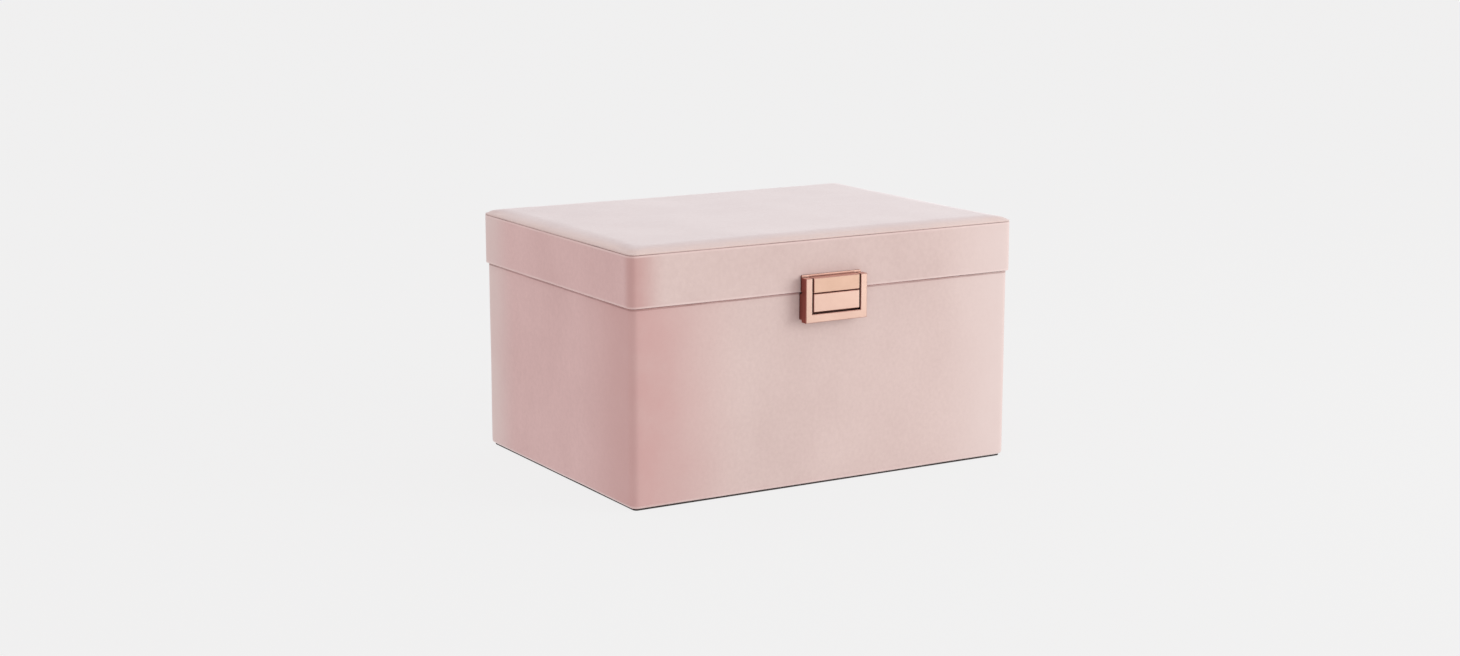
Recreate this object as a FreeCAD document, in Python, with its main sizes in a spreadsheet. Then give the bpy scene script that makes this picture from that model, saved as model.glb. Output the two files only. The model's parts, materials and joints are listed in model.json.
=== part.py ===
"""A velvet-covered jewellery box, with a padded hinged lid, a mirror, a press clasp and a lift-out tray.

Millimetres. X runs left to right, the front faces -Y and Z is up. The origin is the middle of the underside.
The Sizes sheet holds the driving dimensions, and the Layout sheet works out the planes that pieces share.
"""

import FreeCAD, Part
import Sketcher
import math
import os

Vector = FreeCAD.Vector
ALONG_MINUS_Y = FreeCAD.Rotation(Vector(1, 0, 0), 90)
ALONG_X = FreeCAD.Rotation(Vector(0, 1, 0), 90)
FACING_FRONT = "XZ_Plane"

# Coordinates this close are the same, and a cut that takes less than this has missed
CLOSE = 1e-4
LEAST_CUT = 1e-3

# alias, value, what it is
SIZES = [
    ("box_width", 260, "covered body, side to side"),
    ("box_depth", 190, "covered body, front to back"),
    ("body_height", 115.6, "table to the body's rim"),
    ("lid_height", 30, "the lid's side band"),
    ("lid_overhang", 1.3, "how far the lid stands out past the body, each side"),
    ("seam_gap", 0.4, "gap between the rim and the closed lid"),
    ("corner_radius", 4.5, "upright corners of the covering"),
    ("cover_thickness", 1, "velvet with its backing"),
    ("wall_thickness", 6, "fibreboard walls"),
    ("base_thickness", 5, "fibreboard base"),
    ("turn_under", 14, "covering folded under the base"),
    ("bottom_radius", 2, "lower edge of the body's covering"),
    ("rim_radius", 0.8, "edges of the covering at the rim"),
    ("felt_thickness", 1.2, "sheet under the box"),
    ("felt_inset", 2, "from the box's sides to the felt's edge"),
    ("lid_board_thickness", 5, "fibreboard top of the lid"),
    ("pad_height", 3.2, "padded panel above the side band"),
    ("pad_inset", 0.4, "from the side band's face to the padded panel"),
    ("pad_radius", 2.2, "upper edge of the padded panel"),
    ("pad_cover_thickness", 0.8, "velvet over the foam"),
    ("pad_card_thickness", 1, "card under the foam"),
    ("foam_side", 0.2, "least upright side of the foam under its rounded edge"),
    ("lining_thickness", 1.5, "covered card inside the walls"),
    ("lining_drop", 0.5, "rim to the top of the lining"),
    ("rest_thickness", 2.5, "card that the tray stands on"),
    ("rest_gap", 0.2, "tray to the card that it stands on"),
    ("floor_pad_thickness", 2.5, "pad on the base"),
    ("divider_thickness", 4, "dividers under the tray"),
    ("divider_height", 45, "dividers under the tray"),
    ("divider_place", 8, "long divider's middle, behind the box's middle"),
    ("fit_gap", 0.2, "divider to the card beside it"),
    ("tray_height", 20.5, "overall"),
    ("tray_drop", 0.5, "rim to the top of the tray"),
    ("tray_clearance", 0.8, "tray to the lining, each side"),
    ("tray_wall", 4, "covered card"),
    ("tray_base_thickness", 2.5, "covered card"),
    ("tray_divider", 3, "covered card"),
    ("tray_divider_drop", 2, "tray's top to the top of its dividers"),
    ("cell_count", 3, "open compartments behind the rolls"),
    ("roll_count", 5, "ring rolls"),
    ("roll_pitch", 14.4, "middle to middle"),
    ("roll_gap", 0.3, "between two rolls, and beside the outer ones"),
    ("roll_height", 15.5, "covered foam"),
    ("ribbon_width", 10, "pull loops"),
    ("ribbon_thickness", 0.8, "pull loops"),
    ("ribbon_loop", 3.4, "thickness of the folded loop"),
    ("ribbon_flat", 0.02, "flat left between the loop's two bends"),
    ("ribbon_height", 14, "loop above the tray's floor"),
    ("ribbon_set", 9, "tray's long divider to the loop's near edge"),
    ("mirror_margin", 19, "side lining to the mirror, each side"),
    ("mirror_thickness", 2, "glass"),
    ("mirror_lip", 2.5, "frame over the mirror's edge"),
    ("mirror_play", 0.3, "mirror's edge to its frame"),
    ("mirror_frame_thickness", 3.5, "covered card"),
    ("clasp_width", 42, "frame, side to side"),
    ("strike_front", 1.1, "metal in front of the latch pocket"),
    ("clasp_drop", 17, "frame below the seam"),
    ("clasp_rise", 9, "frame above the seam"),
    ("clasp_arm", 4.4, "upright arms of the frame"),
    ("clasp_bar", 4.9, "cross bar of the frame"),
    ("clasp_clearance", 0.8, "frame to the strike and the button"),
    ("clasp_bar_gap", 1.2, "button to the cross bar"),
    ("clasp_split", 0.5, "strike to the button"),
    ("clasp_edge", 0.35, "broken edges of the clasp"),
    ("plate_thickness", 1.3, "strike's plate"),
    ("plate_inset", 0.6, "frame's side to the plates' side"),
    ("plate_rise", 1.3, "plate above the strike"),
    ("plate_corner", 0.8, "corners of the clasp's plates"),
    ("frame_standoff", 1, "plates to the frame's arms"),
    ("plinth_inset", 0.9, "frame's side to its plinth's side"),
    ("plinth_drop", 1, "seam to the plinth's top"),
    ("button_travel", 1.6, "how far the button presses in"),
    ("button_stop_gap", 0.4, "pressed button to the plate"),
    ("button_flange", 1.2, "flange that keeps the button in: its thickness"),
    ("flange_reach", 1.4, "flange beyond the button's sides"),
    ("slide_play", 0.05, "flange to the frame's lip"),
    ("flange_play", 0.2, "flange's sides to the frame's groove"),
    ("tongue_width", 12, "latch tongue"),
    ("tongue_thickness", 1.4, "latch tongue"),
    ("tongue_root", 3, "tongue's overlap on the button"),
    ("tooth_reach", 1, "tooth in front of the tongue"),
    ("tooth_height", 1.7, "tooth, upright"),
    ("tooth_bite", 0.6, "tooth over the catch"),
    ("catch_height", 3, "catch inside the strike"),
    ("latch_play", 0.3, "around the tooth"),
    ("latch_headroom", 1.2, "above the tooth"),
    ("pocket_side", 2.5, "tongue's side to the strike's pocket wall"),
    ("spring_wire", 0.4, "wire diameter"),
    ("spring_radius", 1.1, "to the wire's middle"),
    ("spring_turns", 4, "each spring"),
    ("spring_pocket", 1.6, "pocket radius in the button"),
    ("spring_offset", 11, "from the clasp's middle"),
    ("button_skin", 1.5, "button's face in front of a spring"),
    ("machine_screw_radius", 1.25, "clasp screws"),
    ("machine_head_radius", 2.4, "clasp screws"),
    ("machine_head_height", 1.5, "clasp screws"),
    ("head_recess", 1.8, "depth of the hole for the head"),
    ("screw_skin", 2, "clasp's face to a screw's tip"),
    ("clasp_screw_offset", 14, "from the clasp's middle"),
    ("strike_screw_offset", 12, "from the clasp's middle"),
    ("drill_play", 0.05, "hole radius over the screw's"),
    ("slot_width", 0.6, "screw slots"),
    ("slot_depth", 0.5, "screw slots"),
    ("overrun", 1, "how far a cut runs past an open face"),
    ("hinge_offset", 70, "box's middle to a hinge's middle"),
    ("hinge_length", 30, "along the pin"),
    ("leaf_height", 17, "pin to a leaf's far edge"),
    ("leaf_thickness", 1.2, "lid leaf"),
    ("leaf_corner", 2, "far corners of a leaf"),
    ("knuckle_radius", 2.4, "outside"),
    ("knuckle_gap", 0.25, "between two knuckles"),
    ("knuckle_clearance", 0.3, "knuckle to what turns round it"),
    ("pin_radius", 1.1, "hinge pin"),
    ("pin_play", 0.05, "hole radius over the pin's"),
    ("pin_end", 0.6, "pin past the last knuckle, each end"),
    ("open_angle", 100, "where the hinge's stop holds the lid"),
    ("stop_reach", 4.8, "pin's axis to the stop's tip"),
    ("stop_thickness", 1.6, "stop lug"),
    ("stop_root", 0.4, "pin to the stop's root, inside the knuckle"),
    ("stop_play", 0.05, "stop to the leaf it rests on"),
    ("wood_screw_radius", 1.1, "hinge screws"),
    ("wood_head_radius", 2.1, "hinge screws"),
    ("wood_head_height", 1, "hinge screws"),
    ("wood_tip_cover", 1.2, "wall left past a hinge screw's tip"),
    ("wood_screw_pitch", 20, "two screws of a leaf"),
    ("wood_screw_place", 11, "pin to the screws"),
]

# Planes that pieces share. _x and _y are distances from the box's middle, the others are heights.
LAYOUT = [
    ("half_width", "Sizes.box_width / 2"),
    ("half_depth", "Sizes.box_depth / 2"),
    ("core_x", "half_width - Sizes.cover_thickness"),
    ("core_y", "half_depth - Sizes.cover_thickness"),
    ("room_x", "core_x - Sizes.wall_thickness"),
    ("room_y", "core_y - Sizes.wall_thickness"),
    ("lined_x", "room_x - Sizes.lining_thickness"),
    ("lined_y", "room_y - Sizes.lining_thickness"),
    ("rest_x", "lined_x - Sizes.rest_thickness"),
    ("rest_y", "lined_y - Sizes.rest_thickness"),
    ("wall_bottom", "Sizes.felt_thickness + Sizes.cover_thickness"),
    ("wall_top", "Sizes.body_height - Sizes.cover_thickness"),
    ("base_top", "wall_bottom + Sizes.base_thickness"),
    ("floor_top", "base_top + Sizes.floor_pad_thickness"),
    ("lining_top", "Sizes.body_height - Sizes.lining_drop"),
    ("tray_top", "Sizes.body_height - Sizes.tray_drop"),
    ("tray_bottom", "tray_top - Sizes.tray_height"),
    ("tray_floor", "tray_bottom + Sizes.tray_base_thickness"),
    ("rest_top", "tray_bottom - Sizes.rest_gap"),
    ("tray_x", "lined_x - Sizes.tray_clearance"),
    ("tray_y", "lined_y - Sizes.tray_clearance"),
    ("tray_room_x", "tray_x - Sizes.tray_wall"),
    ("tray_room_y", "tray_y - Sizes.tray_wall"),
    ("bed_back", "Sizes.roll_count * Sizes.roll_pitch + Sizes.roll_gap - tray_room_y"),
    ("cell_front", "bed_back + Sizes.tray_divider"),
    ("cell_width", "(2 * tray_room_x - (Sizes.cell_count - 1) * Sizes.tray_divider) / Sizes.cell_count"),
    ("lid_bottom", "Sizes.body_height + Sizes.seam_gap"),
    ("seam", "Sizes.body_height + Sizes.seam_gap / 2"),
    ("lid_x", "half_width + Sizes.lid_overhang"),
    ("lid_y", "half_depth + Sizes.lid_overhang"),
    ("lid_core_x", "lid_x - Sizes.cover_thickness"),
    ("lid_core_y", "lid_y - Sizes.cover_thickness"),
    ("lid_room_x", "lid_core_x - Sizes.wall_thickness"),
    ("lid_room_y", "lid_core_y - Sizes.wall_thickness"),
    ("lid_lined_x", "lid_room_x - Sizes.lining_thickness"),
    ("lid_lined_y", "lid_room_y - Sizes.lining_thickness"),
    ("lid_wall_bottom", "lid_bottom + Sizes.cover_thickness"),
    ("crease", "lid_bottom + Sizes.lid_height"),
    ("lid_wall_top", "crease - Sizes.cover_thickness"),
    ("lid_board_bottom", "crease - Sizes.lid_board_thickness"),
    ("ceiling", "lid_board_bottom - Sizes.mirror_frame_thickness"),
    ("pad_x", "lid_x - Sizes.pad_inset"),
    ("pad_y", "lid_y - Sizes.pad_inset"),
    ("foam_x", "pad_x - Sizes.pad_cover_thickness"),
    ("foam_y", "pad_y - Sizes.pad_cover_thickness"),
    ("pad_top", "crease + Sizes.pad_height"),
    ("mirror_x", "lid_lined_x - Sizes.mirror_margin"),
    ("mirror_y", "lid_lined_y - Sizes.mirror_margin"),
    # The clasp, from the body's front face and the seam. _v runs out of the front, _s is up.
    ("clasp_x", "Sizes.clasp_width / 2"),
    ("plate_x", "clasp_x - Sizes.plate_inset"),
    ("mouth_x", "clasp_x - Sizes.clasp_arm"),
    ("insert_x", "mouth_x - Sizes.clasp_clearance"),
    ("flange_x", "insert_x + Sizes.flange_reach"),
    ("plate_v", "Sizes.lid_overhang + Sizes.plate_thickness"),
    ("arm_v", "plate_v + Sizes.frame_standoff"),
    ("button_v", "plate_v + Sizes.button_travel + Sizes.button_stop_gap"),
    ("flange_v", "button_v + Sizes.button_flange"),
    ("tongue_v", "button_v + Sizes.tongue_thickness"),
    ("tooth_v", "tongue_v + Sizes.tooth_reach"),
    ("catch_v", "tooth_v - Sizes.tooth_bite"),
    ("pocket_v", "tooth_v + Sizes.latch_play"),
    ("face_v", "pocket_v + Sizes.strike_front"),
    ("screw_v", "face_v - Sizes.screw_skin"),
    ("bar_s", "Sizes.clasp_bar - Sizes.clasp_drop"),
    ("button_s", "bar_s + Sizes.clasp_bar_gap"),
    ("catch_s", "Sizes.clasp_split / 2 + Sizes.catch_height"),
    ("tooth_s", "catch_s + Sizes.latch_play"),
    ("tongue_s", "tooth_s + Sizes.tooth_height"),
    ("pocket_s", "tongue_s + Sizes.latch_headroom"),
    ("strike_s", "Sizes.clasp_rise"),
    ("strike_screw_s", "(strike_s + Sizes.clasp_split / 2) / 2"),
    ("clasp_screw_s", "Sizes.clasp_bar / 2 - Sizes.clasp_drop"),
    ("spring_s", "(button_s - Sizes.clasp_split / 2) / 2"),
    # The hinges, from the pin's axis. _out is away from the back of the box.
    ("axis_y", "lid_y + Sizes.knuckle_clearance + Sizes.knuckle_radius"),
    ("lid_leaf_in", "lid_y - axis_y"),
    ("body_leaf_in", "half_depth - axis_y"),
    ("leaf_out", "lid_leaf_in + Sizes.leaf_thickness"),
    ("knuckle_length", "(Sizes.hinge_length - 2 * Sizes.knuckle_gap) / 3"),
    ("knuckle_sweep", "Sizes.knuckle_radius + Sizes.knuckle_clearance"),
    (
        "stop_drop",
        "(-leaf_out - Sizes.stop_play + Sizes.stop_reach * cos(Sizes.open_angle * 1deg))"
        " / sin(Sizes.open_angle * 1deg)",
    ),
]

doc = FreeCAD.newDocument("jewellery_box")
nodes = {}


def fill_sheets():
    """The driving numbers in Sizes, and the planes worked out from them in Layout."""
    sizes = doc.addObject("Spreadsheet::Sheet", "Sizes")
    for row, (alias, value, meaning) in enumerate(SIZES, 1):
        sizes.set(f"A{row}", meaning)
        sizes.set(f"B{row}", str(value))
        sizes.setAlias(f"B{row}", alias)
    doc.recompute()
    layout = doc.addObject("Spreadsheet::Sheet", "Layout")
    for row, (alias, formula) in enumerate(LAYOUT, 1):
        layout.setAlias(f"B{row}", alias)
        layout.set(f"B{row}", "=" + formula)
    doc.recompute()
    return sizes, layout


def plan(name):
    """A Layout plane in an expression."""
    return f"Layout.{name}"


def size(name):
    """A Sizes value in an expression."""
    return f"Sizes.{name}"


def number(expression_cell):
    """The value of a Layout or Sizes cell, for choosing edges."""
    return float(layout.get(expression_cell) if expression_cell in PLANES else sizes.get(expression_cell))


def place(obj, x="0", y="0", z="0", rotation=None):
    """Binds where an object's own origin lies."""
    if rotation is not None:
        obj.Placement = FreeCAD.Placement(Vector(), rotation)
    for axis, expression in zip("xyz", (x, y, z)):
        obj.setExpression(f"Placement.Base.{axis}", expression)
    return obj


def node(label, obj):
    """Names a finished sub-part."""
    obj.Label = label
    nodes[label] = obj
    return obj


# Part primitives and booleans


def slab(name, x, y, z):
    """A Part::Box between pairs of planes."""
    box = doc.addObject("Part::Box", name)
    for prop, (low, high) in zip(("Length", "Width", "Height"), (x, y, z)):
        box.setExpression(prop, f"({high}) - ({low})")
    return place(box, x[0], y[0], z[0])


def both(expression):
    """The pair of planes at a distance each side of the middle."""
    return f"-({expression})", expression


def across(name):
    """The pair of planes that a Layout distance gives, each side of the middle."""
    return both(plan(name))


def between(low, high):
    """Two Layout planes."""
    return plan(low), plan(high)


def rod(name, radius, length, x, y, z, rotation=ALONG_MINUS_Y):
    """A Part::Cylinder that starts at a point."""
    cylinder = doc.addObject("Part::Cylinder", name)
    cylinder.setExpression("Radius", radius)
    cylinder.setExpression("Height", length)
    return place(cylinder, x, y, z, rotation)


def cut(name, base, tool):
    done = doc.addObject("Part::Cut", name)
    done.Base, done.Tool = base, tool
    return done


def fuse(name, parts):
    done = doc.addObject("Part::MultiFuse", name)
    done.Shapes = parts
    return done


def group(name, parts):
    """Separate solids that share one node."""
    done = doc.addObject("Part::Compound", name)
    done.Links = parts
    return done


# PartDesign bodies


def body(name, x="0", y="0", z="0"):
    return place(doc.addObject("PartDesign::Body", name), x, y, z)


def plane_sketch(owner, plane, a, b, c):
    """An empty sketch on one of the body's origin planes, moved to (a, b) and along the normal by c."""
    sketch = owner.newObject("Sketcher::SketchObject", f"{owner.Name}_sketch")
    origin_plane = next(f for f in owner.Origin.OriginFeatures if f.Role == plane)
    sketch.AttachmentSupport = [(origin_plane, "")]
    sketch.MapMode = "FlatFace"
    for axis, expression in zip("xyz", (a, b, c)):
        sketch.setExpression(f"AttachmentOffset.Base.{axis}", expression)
    return sketch


def rectangle(sketch, width, height):
    """A rectangle about the sketch's origin."""
    corners = [Vector(-5, -5, 0), Vector(5, -5, 0), Vector(5, 5, 0), Vector(-5, 5, 0)]
    for here, there in zip(corners, corners[1:] + corners[:1]):
        sketch.addGeometry(Part.LineSegment(here, there))
    for side in range(4):
        sketch.addConstraint(Sketcher.Constraint("Coincident", side, 2, (side + 1) % 4, 1))
        sketch.addConstraint(Sketcher.Constraint(("Horizontal", "Vertical")[side % 2], side))
    sketch.addConstraint(Sketcher.Constraint("Symmetric", 0, 1, 2, 1, -1, 1))
    across = sketch.addConstraint(Sketcher.Constraint("DistanceX", 0, 1, 0, 2, 10))
    up = sketch.addConstraint(Sketcher.Constraint("DistanceY", 1, 1, 1, 2, 10))
    sketch.setExpression(f"Constraints[{across}]", width)
    sketch.setExpression(f"Constraints[{up}]", height)


def rounded_rectangle(sketch, width, height, radius):
    """A rectangle about the sketch's origin with four equal arcs at its corners."""
    half, arc, quarter = 10.0, 2.0, math.pi / 2
    inner = half - arc
    ends = [
        (Vector(-inner, -half, 0), Vector(inner, -half, 0)),
        (Vector(half, -inner, 0), Vector(half, inner, 0)),
        (Vector(inner, half, 0), Vector(-inner, half, 0)),
        (Vector(-half, inner, 0), Vector(-half, -inner, 0)),
    ]
    centres = [(inner, -inner), (inner, inner), (-inner, inner), (-inner, -inner)]
    for here, there in ends:
        sketch.addGeometry(Part.LineSegment(here, there))
    for turn, (x, y) in enumerate(centres):
        circle = Part.Circle(Vector(x, y, 0), Vector(0, 0, 1), arc)
        sketch.addGeometry(Part.ArcOfCircle(circle, (turn - 1) * quarter, turn * quarter))
    for side in range(4):
        sketch.addConstraint(Sketcher.Constraint("Tangent", side, 2, 4 + side, 1))
        sketch.addConstraint(Sketcher.Constraint("Tangent", 4 + side, 2, (side + 1) % 4, 1))
        sketch.addConstraint(Sketcher.Constraint(("Horizontal", "Vertical")[side % 2], side))
    for other in (5, 6, 7):
        sketch.addConstraint(Sketcher.Constraint("Equal", 4, other))
    sketch.addConstraint(Sketcher.Constraint("Symmetric", 4, 3, 6, 3, -1, 1))
    bend = sketch.addConstraint(Sketcher.Constraint("Radius", 4, arc))
    across = sketch.addConstraint(Sketcher.Constraint("DistanceX", 7, 3, 4, 3, 2 * inner))
    up = sketch.addConstraint(Sketcher.Constraint("DistanceY", 4, 3, 5, 3, 2 * inner))
    sketch.setExpression(f"Constraints[{bend}]", radius)
    sketch.setExpression(f"Constraints[{across}]", f"{width} - 2 * ({radius})")
    sketch.setExpression(f"Constraints[{up}]", f"{height} - 2 * ({radius})")


def circle(sketch, radius):
    """A circle about the sketch's origin."""
    sketch.addGeometry(Part.Circle(Vector(), Vector(0, 0, 1), 5))
    sketch.addConstraint(Sketcher.Constraint("Coincident", 0, 3, -1, 1))
    bend = sketch.addConstraint(Sketcher.Constraint("Radius", 0, 5))
    sketch.setExpression(f"Constraints[{bend}]", radius)


def feature(kind, sketch, length):
    owner = sketch.getParentGeoFeatureGroup()
    made = owner.newObject(f"PartDesign::{kind}", f"{owner.Name}_{kind.lower()}")
    made.Profile = sketch
    made.setExpression("Length", length)
    sketch.Visibility = False
    owner.Tip = made
    return made


def block_sketch(owner, plane, a, b, level, radius):
    """A sketch of the rectangle between planes a and b, at a level along the plane's normal."""
    middle = [f"(({low}) + ({high})) / 2" for low, high in (a, b)]
    width, height = (f"(({high}) - ({low}))" for low, high in (a, b))
    sketch = plane_sketch(owner, plane, *middle, level)
    if radius:
        rounded_rectangle(sketch, width, height, radius)
    else:
        rectangle(sketch, width, height)
    return sketch


def add_block(owner, a, b, c, plane="XY_Plane", radius=None):
    """Pads the rectangle a by b from plane c[0] to c[1]."""
    return feature("Pad", block_sketch(owner, plane, a, b, c[0], radius), f"({c[1]}) - ({c[0]})")


def cut_block(owner, a, b, c, plane="XY_Plane", radius=None):
    """Pockets the rectangle a by b, from plane c[1] back to c[0]."""
    return feature("Pocket", block_sketch(owner, plane, a, b, c[1], radius), f"({c[1]}) - ({c[0]})")


def add_round(owner, plane, at, radius, c):
    sketch = plane_sketch(owner, plane, *at, c[0])
    circle(sketch, radius)
    return feature("Pad", sketch, f"({c[1]}) - ({c[0]})")


def cut_round(owner, plane, at, radius, c):
    sketch = plane_sketch(owner, plane, *at, c[1])
    circle(sketch, radius)
    return feature("Pocket", sketch, f"({c[1]}) - ({c[0]})")


def dress(owner, kind, radius, chosen):
    """A fillet or chamfer on the tip's edges that chosen() picks."""
    doc.recompute()
    base = owner.Tip
    names = [f"Edge{n}" for n, edge in enumerate(base.Shape.Edges, 1) if chosen(edge)]
    if not names:
        raise ValueError(f"{owner.Name}: no edge to dress")
    made = owner.newObject(f"PartDesign::{kind}", f"{owner.Name}_{kind.lower()}")
    made.Base = (base, names)
    made.setExpression("Radius" if kind == "Fillet" else "Size", radius)
    owner.Tip = made
    return made


def lies_at(edge, axis, level):
    """Whether the whole edge lies in the plane where that coordinate is level."""
    box = edge.BoundBox
    low, high = ((box.XMin, box.XMax), (box.YMin, box.YMax), (box.ZMin, box.ZMax))[axis]
    return abs(low - level) < CLOSE and abs(high - level) < CLOSE


def runs_along(edge, axis):
    """Whether the edge is straight and parallel to that axis."""
    box = edge.BoundBox
    lengths = (box.XLength, box.YLength, box.ZLength)
    return all((length < CLOSE) != (n == axis) for n, length in enumerate(lengths))


def outer(edge, half_x, half_y, slack):
    """Whether the edge lies on or near a rectangle's outline, seen from above."""
    middle = edge.BoundBox.Center
    return abs(middle.x) > half_x - slack or abs(middle.y) > half_y - slack


# The carcass


def walls(prefix, core, room, z, corner, drills):
    """Four fibreboard walls: the sides run the full depth and the front and back stand between them."""
    core_x, core_y, room_x, room_y = (plan(name + axis) for name in (core, room) for axis in ("_x", "_y"))
    for side, sign in (("left", -1), ("right", 1)):
        wall = body(f"{prefix}{side}_wall")
        x = (room_x, core_x) if sign > 0 else (f"-{core_x}", f"-{room_x}")
        add_block(wall, x, both(core_y), z)
        outside = sign * number(core + "_x")
        dress(wall, "Fillet", corner, lambda e: lies_at(e, 0, outside) and runs_along(e, 2))
        node(wall.Name, wall)
    front = slab(f"{prefix}front_panel", both(room_x), (f"-{core_y}", f"-{room_y}"), z)
    back = slab(f"{prefix}back_panel", both(room_x), (room_y, core_y), z)
    node(f"{prefix}front_wall", cut(f"{prefix}front_wall", front, drills[0]))
    node(f"{prefix}back_wall", cut(f"{prefix}back_wall", back, drills[1]))


def covering(name, outside, core, room, z, turn):
    """A velvet skin round four walls, folded over both their ends. turn is half of the opening below."""
    low, high = z
    thick = size("cover_thickness")
    skin = body(f"{name}_skin")
    add_block(skin, both(plan(outside[0])), both(plan(outside[1])), z, radius=size("corner_radius"))
    cut_block(skin, both(plan(room + "_x")), both(plan(room + "_y")), (f"{high} - {thick}", high))
    cut_block(
        skin,
        both(plan(core + "_x")),
        both(plan(core + "_y")),
        (f"{low} + {thick}", f"{high} - {thick}"),
        radius=f"({size('corner_radius')} - {thick})",
    )
    cut_block(skin, both(turn[0]), both(turn[1]), (low, f"{low} + {thick}"))
    half_x, half_y = number(outside[0]), number(outside[1])
    return skin, lambda e, level: lies_at(e, 2, level) and outer(e, half_x, half_y, number("corner_radius"))


def lining(prefix, name, outside, inside, z):
    """Four covered cards inside four walls: the front and back run the full width."""
    out_x, out_y, in_x, in_y = (plan(name + axis) for name in (outside, inside) for axis in ("_x", "_y"))
    sheets = {
        "front": (both(out_x), (f"-{out_y}", f"-{in_y}")),
        "back": (both(out_x), (in_y, out_y)),
        "left": ((f"-{out_x}", f"-{in_x}"), both(in_y)),
        "right": ((in_x, out_x), both(in_y)),
    }
    for side, (x, y) in sheets.items():
        label = f"{prefix}{name}_{side}"
        node(label, slab(label, x, y, z))


def base_pieces():
    felt = body("base_felt")
    felt_x, felt_y = (f"{plan(half)} - {size('felt_inset')}" for half in ("half_width", "half_depth"))
    radius = f"({size('corner_radius')} - {size('felt_inset')})"
    add_block(felt, both(felt_x), both(felt_y), ("0", size("felt_thickness")), radius=radius)
    node("base_felt", felt)
    card_x, card_y = (f"{plan(half)} - {size('turn_under')}" for half in ("half_width", "half_depth"))
    card = slab("filler_card", both(card_x), both(card_y), (size("felt_thickness"), plan("wall_bottom")))
    node("base_filler_card", card)
    board = slab("board", across("room_x"), across("room_y"), between("wall_bottom", "base_top"))
    node("base_board", board)


def body_carcass(clasp_drill, hinge_drill):
    corner = f"{size('corner_radius')} - {size('cover_thickness')}"
    walls("", "core", "room", between("wall_bottom", "wall_top"), corner, (clasp_drill, hinge_drill))
    base_pieces()
    z = (size("felt_thickness"), size("body_height"))
    turn = [f"{plan(half)} - {size('turn_under')}" for half in ("half_width", "half_depth")]
    skin, on_outline = covering("body_wrap", ("half_width", "half_depth"), "core", "room", z, turn)
    dress(skin, "Fillet", size("bottom_radius"), lambda e: on_outline(e, number("felt_thickness")))
    dress(skin, "Fillet", size("rim_radius"), lambda e: on_outline(e, number("body_height")))
    drills = fuse("body_drills", [clasp_drill, hinge_drill])
    node("body_wrap", cut("body_wrap", skin, drills))


def lid_carcass(strike_drill, hinge_drill):
    corner = f"{size('corner_radius')} - {size('cover_thickness')}"
    z = between("lid_wall_bottom", "lid_wall_top")
    walls("lid_", "lid_core", "lid_room", z, corner, (strike_drill, hinge_drill))
    z = between("lid_bottom", "crease")
    room = between("lid_room_x", "lid_room_y")
    skin, on_outline = covering("lid_wrap", ("lid_x", "lid_y"), "lid_core", "lid_room", z, room)
    dress(skin, "Fillet", size("rim_radius"), lambda e: on_outline(e, number("lid_bottom")))
    dress(skin, "Fillet", size("rim_radius"), lambda e: on_outline(e, number("crease")))
    drills = fuse("lid_drills", [strike_drill, hinge_drill])
    node("lid_wrap", cut("lid_wrap", skin, drills))
    z = between("lid_board_bottom", "crease")
    board = slab("lid_board", across("lid_room_x"), across("lid_room_y"), z)
    node("lid_top_board", board)


# The lid's padded panel, linings and mirror


def padded_panel():
    """Card, foam and the velvet stretched over them, which stands on the lid."""
    foam_x, foam_y = across("foam_x"), across("foam_y")
    foam_radius = f"({size('corner_radius')} - {size('pad_cover_thickness')})"
    card_top = f"{plan('crease')} + {size('pad_card_thickness')}"
    foam_top = f"{plan('pad_top')} - {size('pad_cover_thickness')}"
    card = body("pad_card")
    add_block(card, foam_x, foam_y, (plan("crease"), card_top), radius=foam_radius)
    node("pad_card", card)
    foam = body("pad_foam")
    add_block(foam, foam_x, foam_y, (card_top, foam_top), radius=foam_radius)
    top = number("pad_top") - number("pad_cover_thickness")
    same_as_cover = f"{size('pad_radius')} - {size('pad_cover_thickness')}"
    most = f"{foam_top} - ({card_top}) - {size('foam_side')}"
    dress(foam, "Fillet", f"min({same_as_cover}; {most})", lambda e: lies_at(e, 2, top))
    node("pad_foam", foam)
    cover = body("pad_velvet")
    z = between("crease", "pad_top")
    add_block(cover, across("pad_x"), across("pad_y"), z, radius=size("corner_radius"))
    cut_block(cover, foam_x, foam_y, (plan("crease"), foam_top), radius=foam_radius)
    dress(cover, "Fillet", size("pad_radius"), lambda e: lies_at(e, 2, number("pad_top")))
    node("pad_cover", cover)


def mirror():
    """The glass lies against the lid's board, and a covered frame laps over its edge."""
    glass_bottom = f"{plan('lid_board_bottom')} - {size('mirror_thickness')}"
    glass = slab("glass", across("mirror_x"), across("mirror_y"), (glass_bottom, plan("lid_board_bottom")))
    node("mirror", glass)
    frame = body("mirror_surround")
    add_block(frame, across("lid_lined_x"), across("lid_lined_y"), between("ceiling", "lid_board_bottom"))
    window = [both(f"{plan(half)} - {size('mirror_lip')}") for half in ("mirror_x", "mirror_y")]
    cut_block(frame, *window, between("ceiling", "lid_board_bottom"))
    seat = [both(f"{plan(half)} + {size('mirror_play')}") for half in ("mirror_x", "mirror_y")]
    cut_block(frame, *seat, (glass_bottom, plan("lid_board_bottom")))
    node("mirror_frame", frame)


# Under the tray


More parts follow.
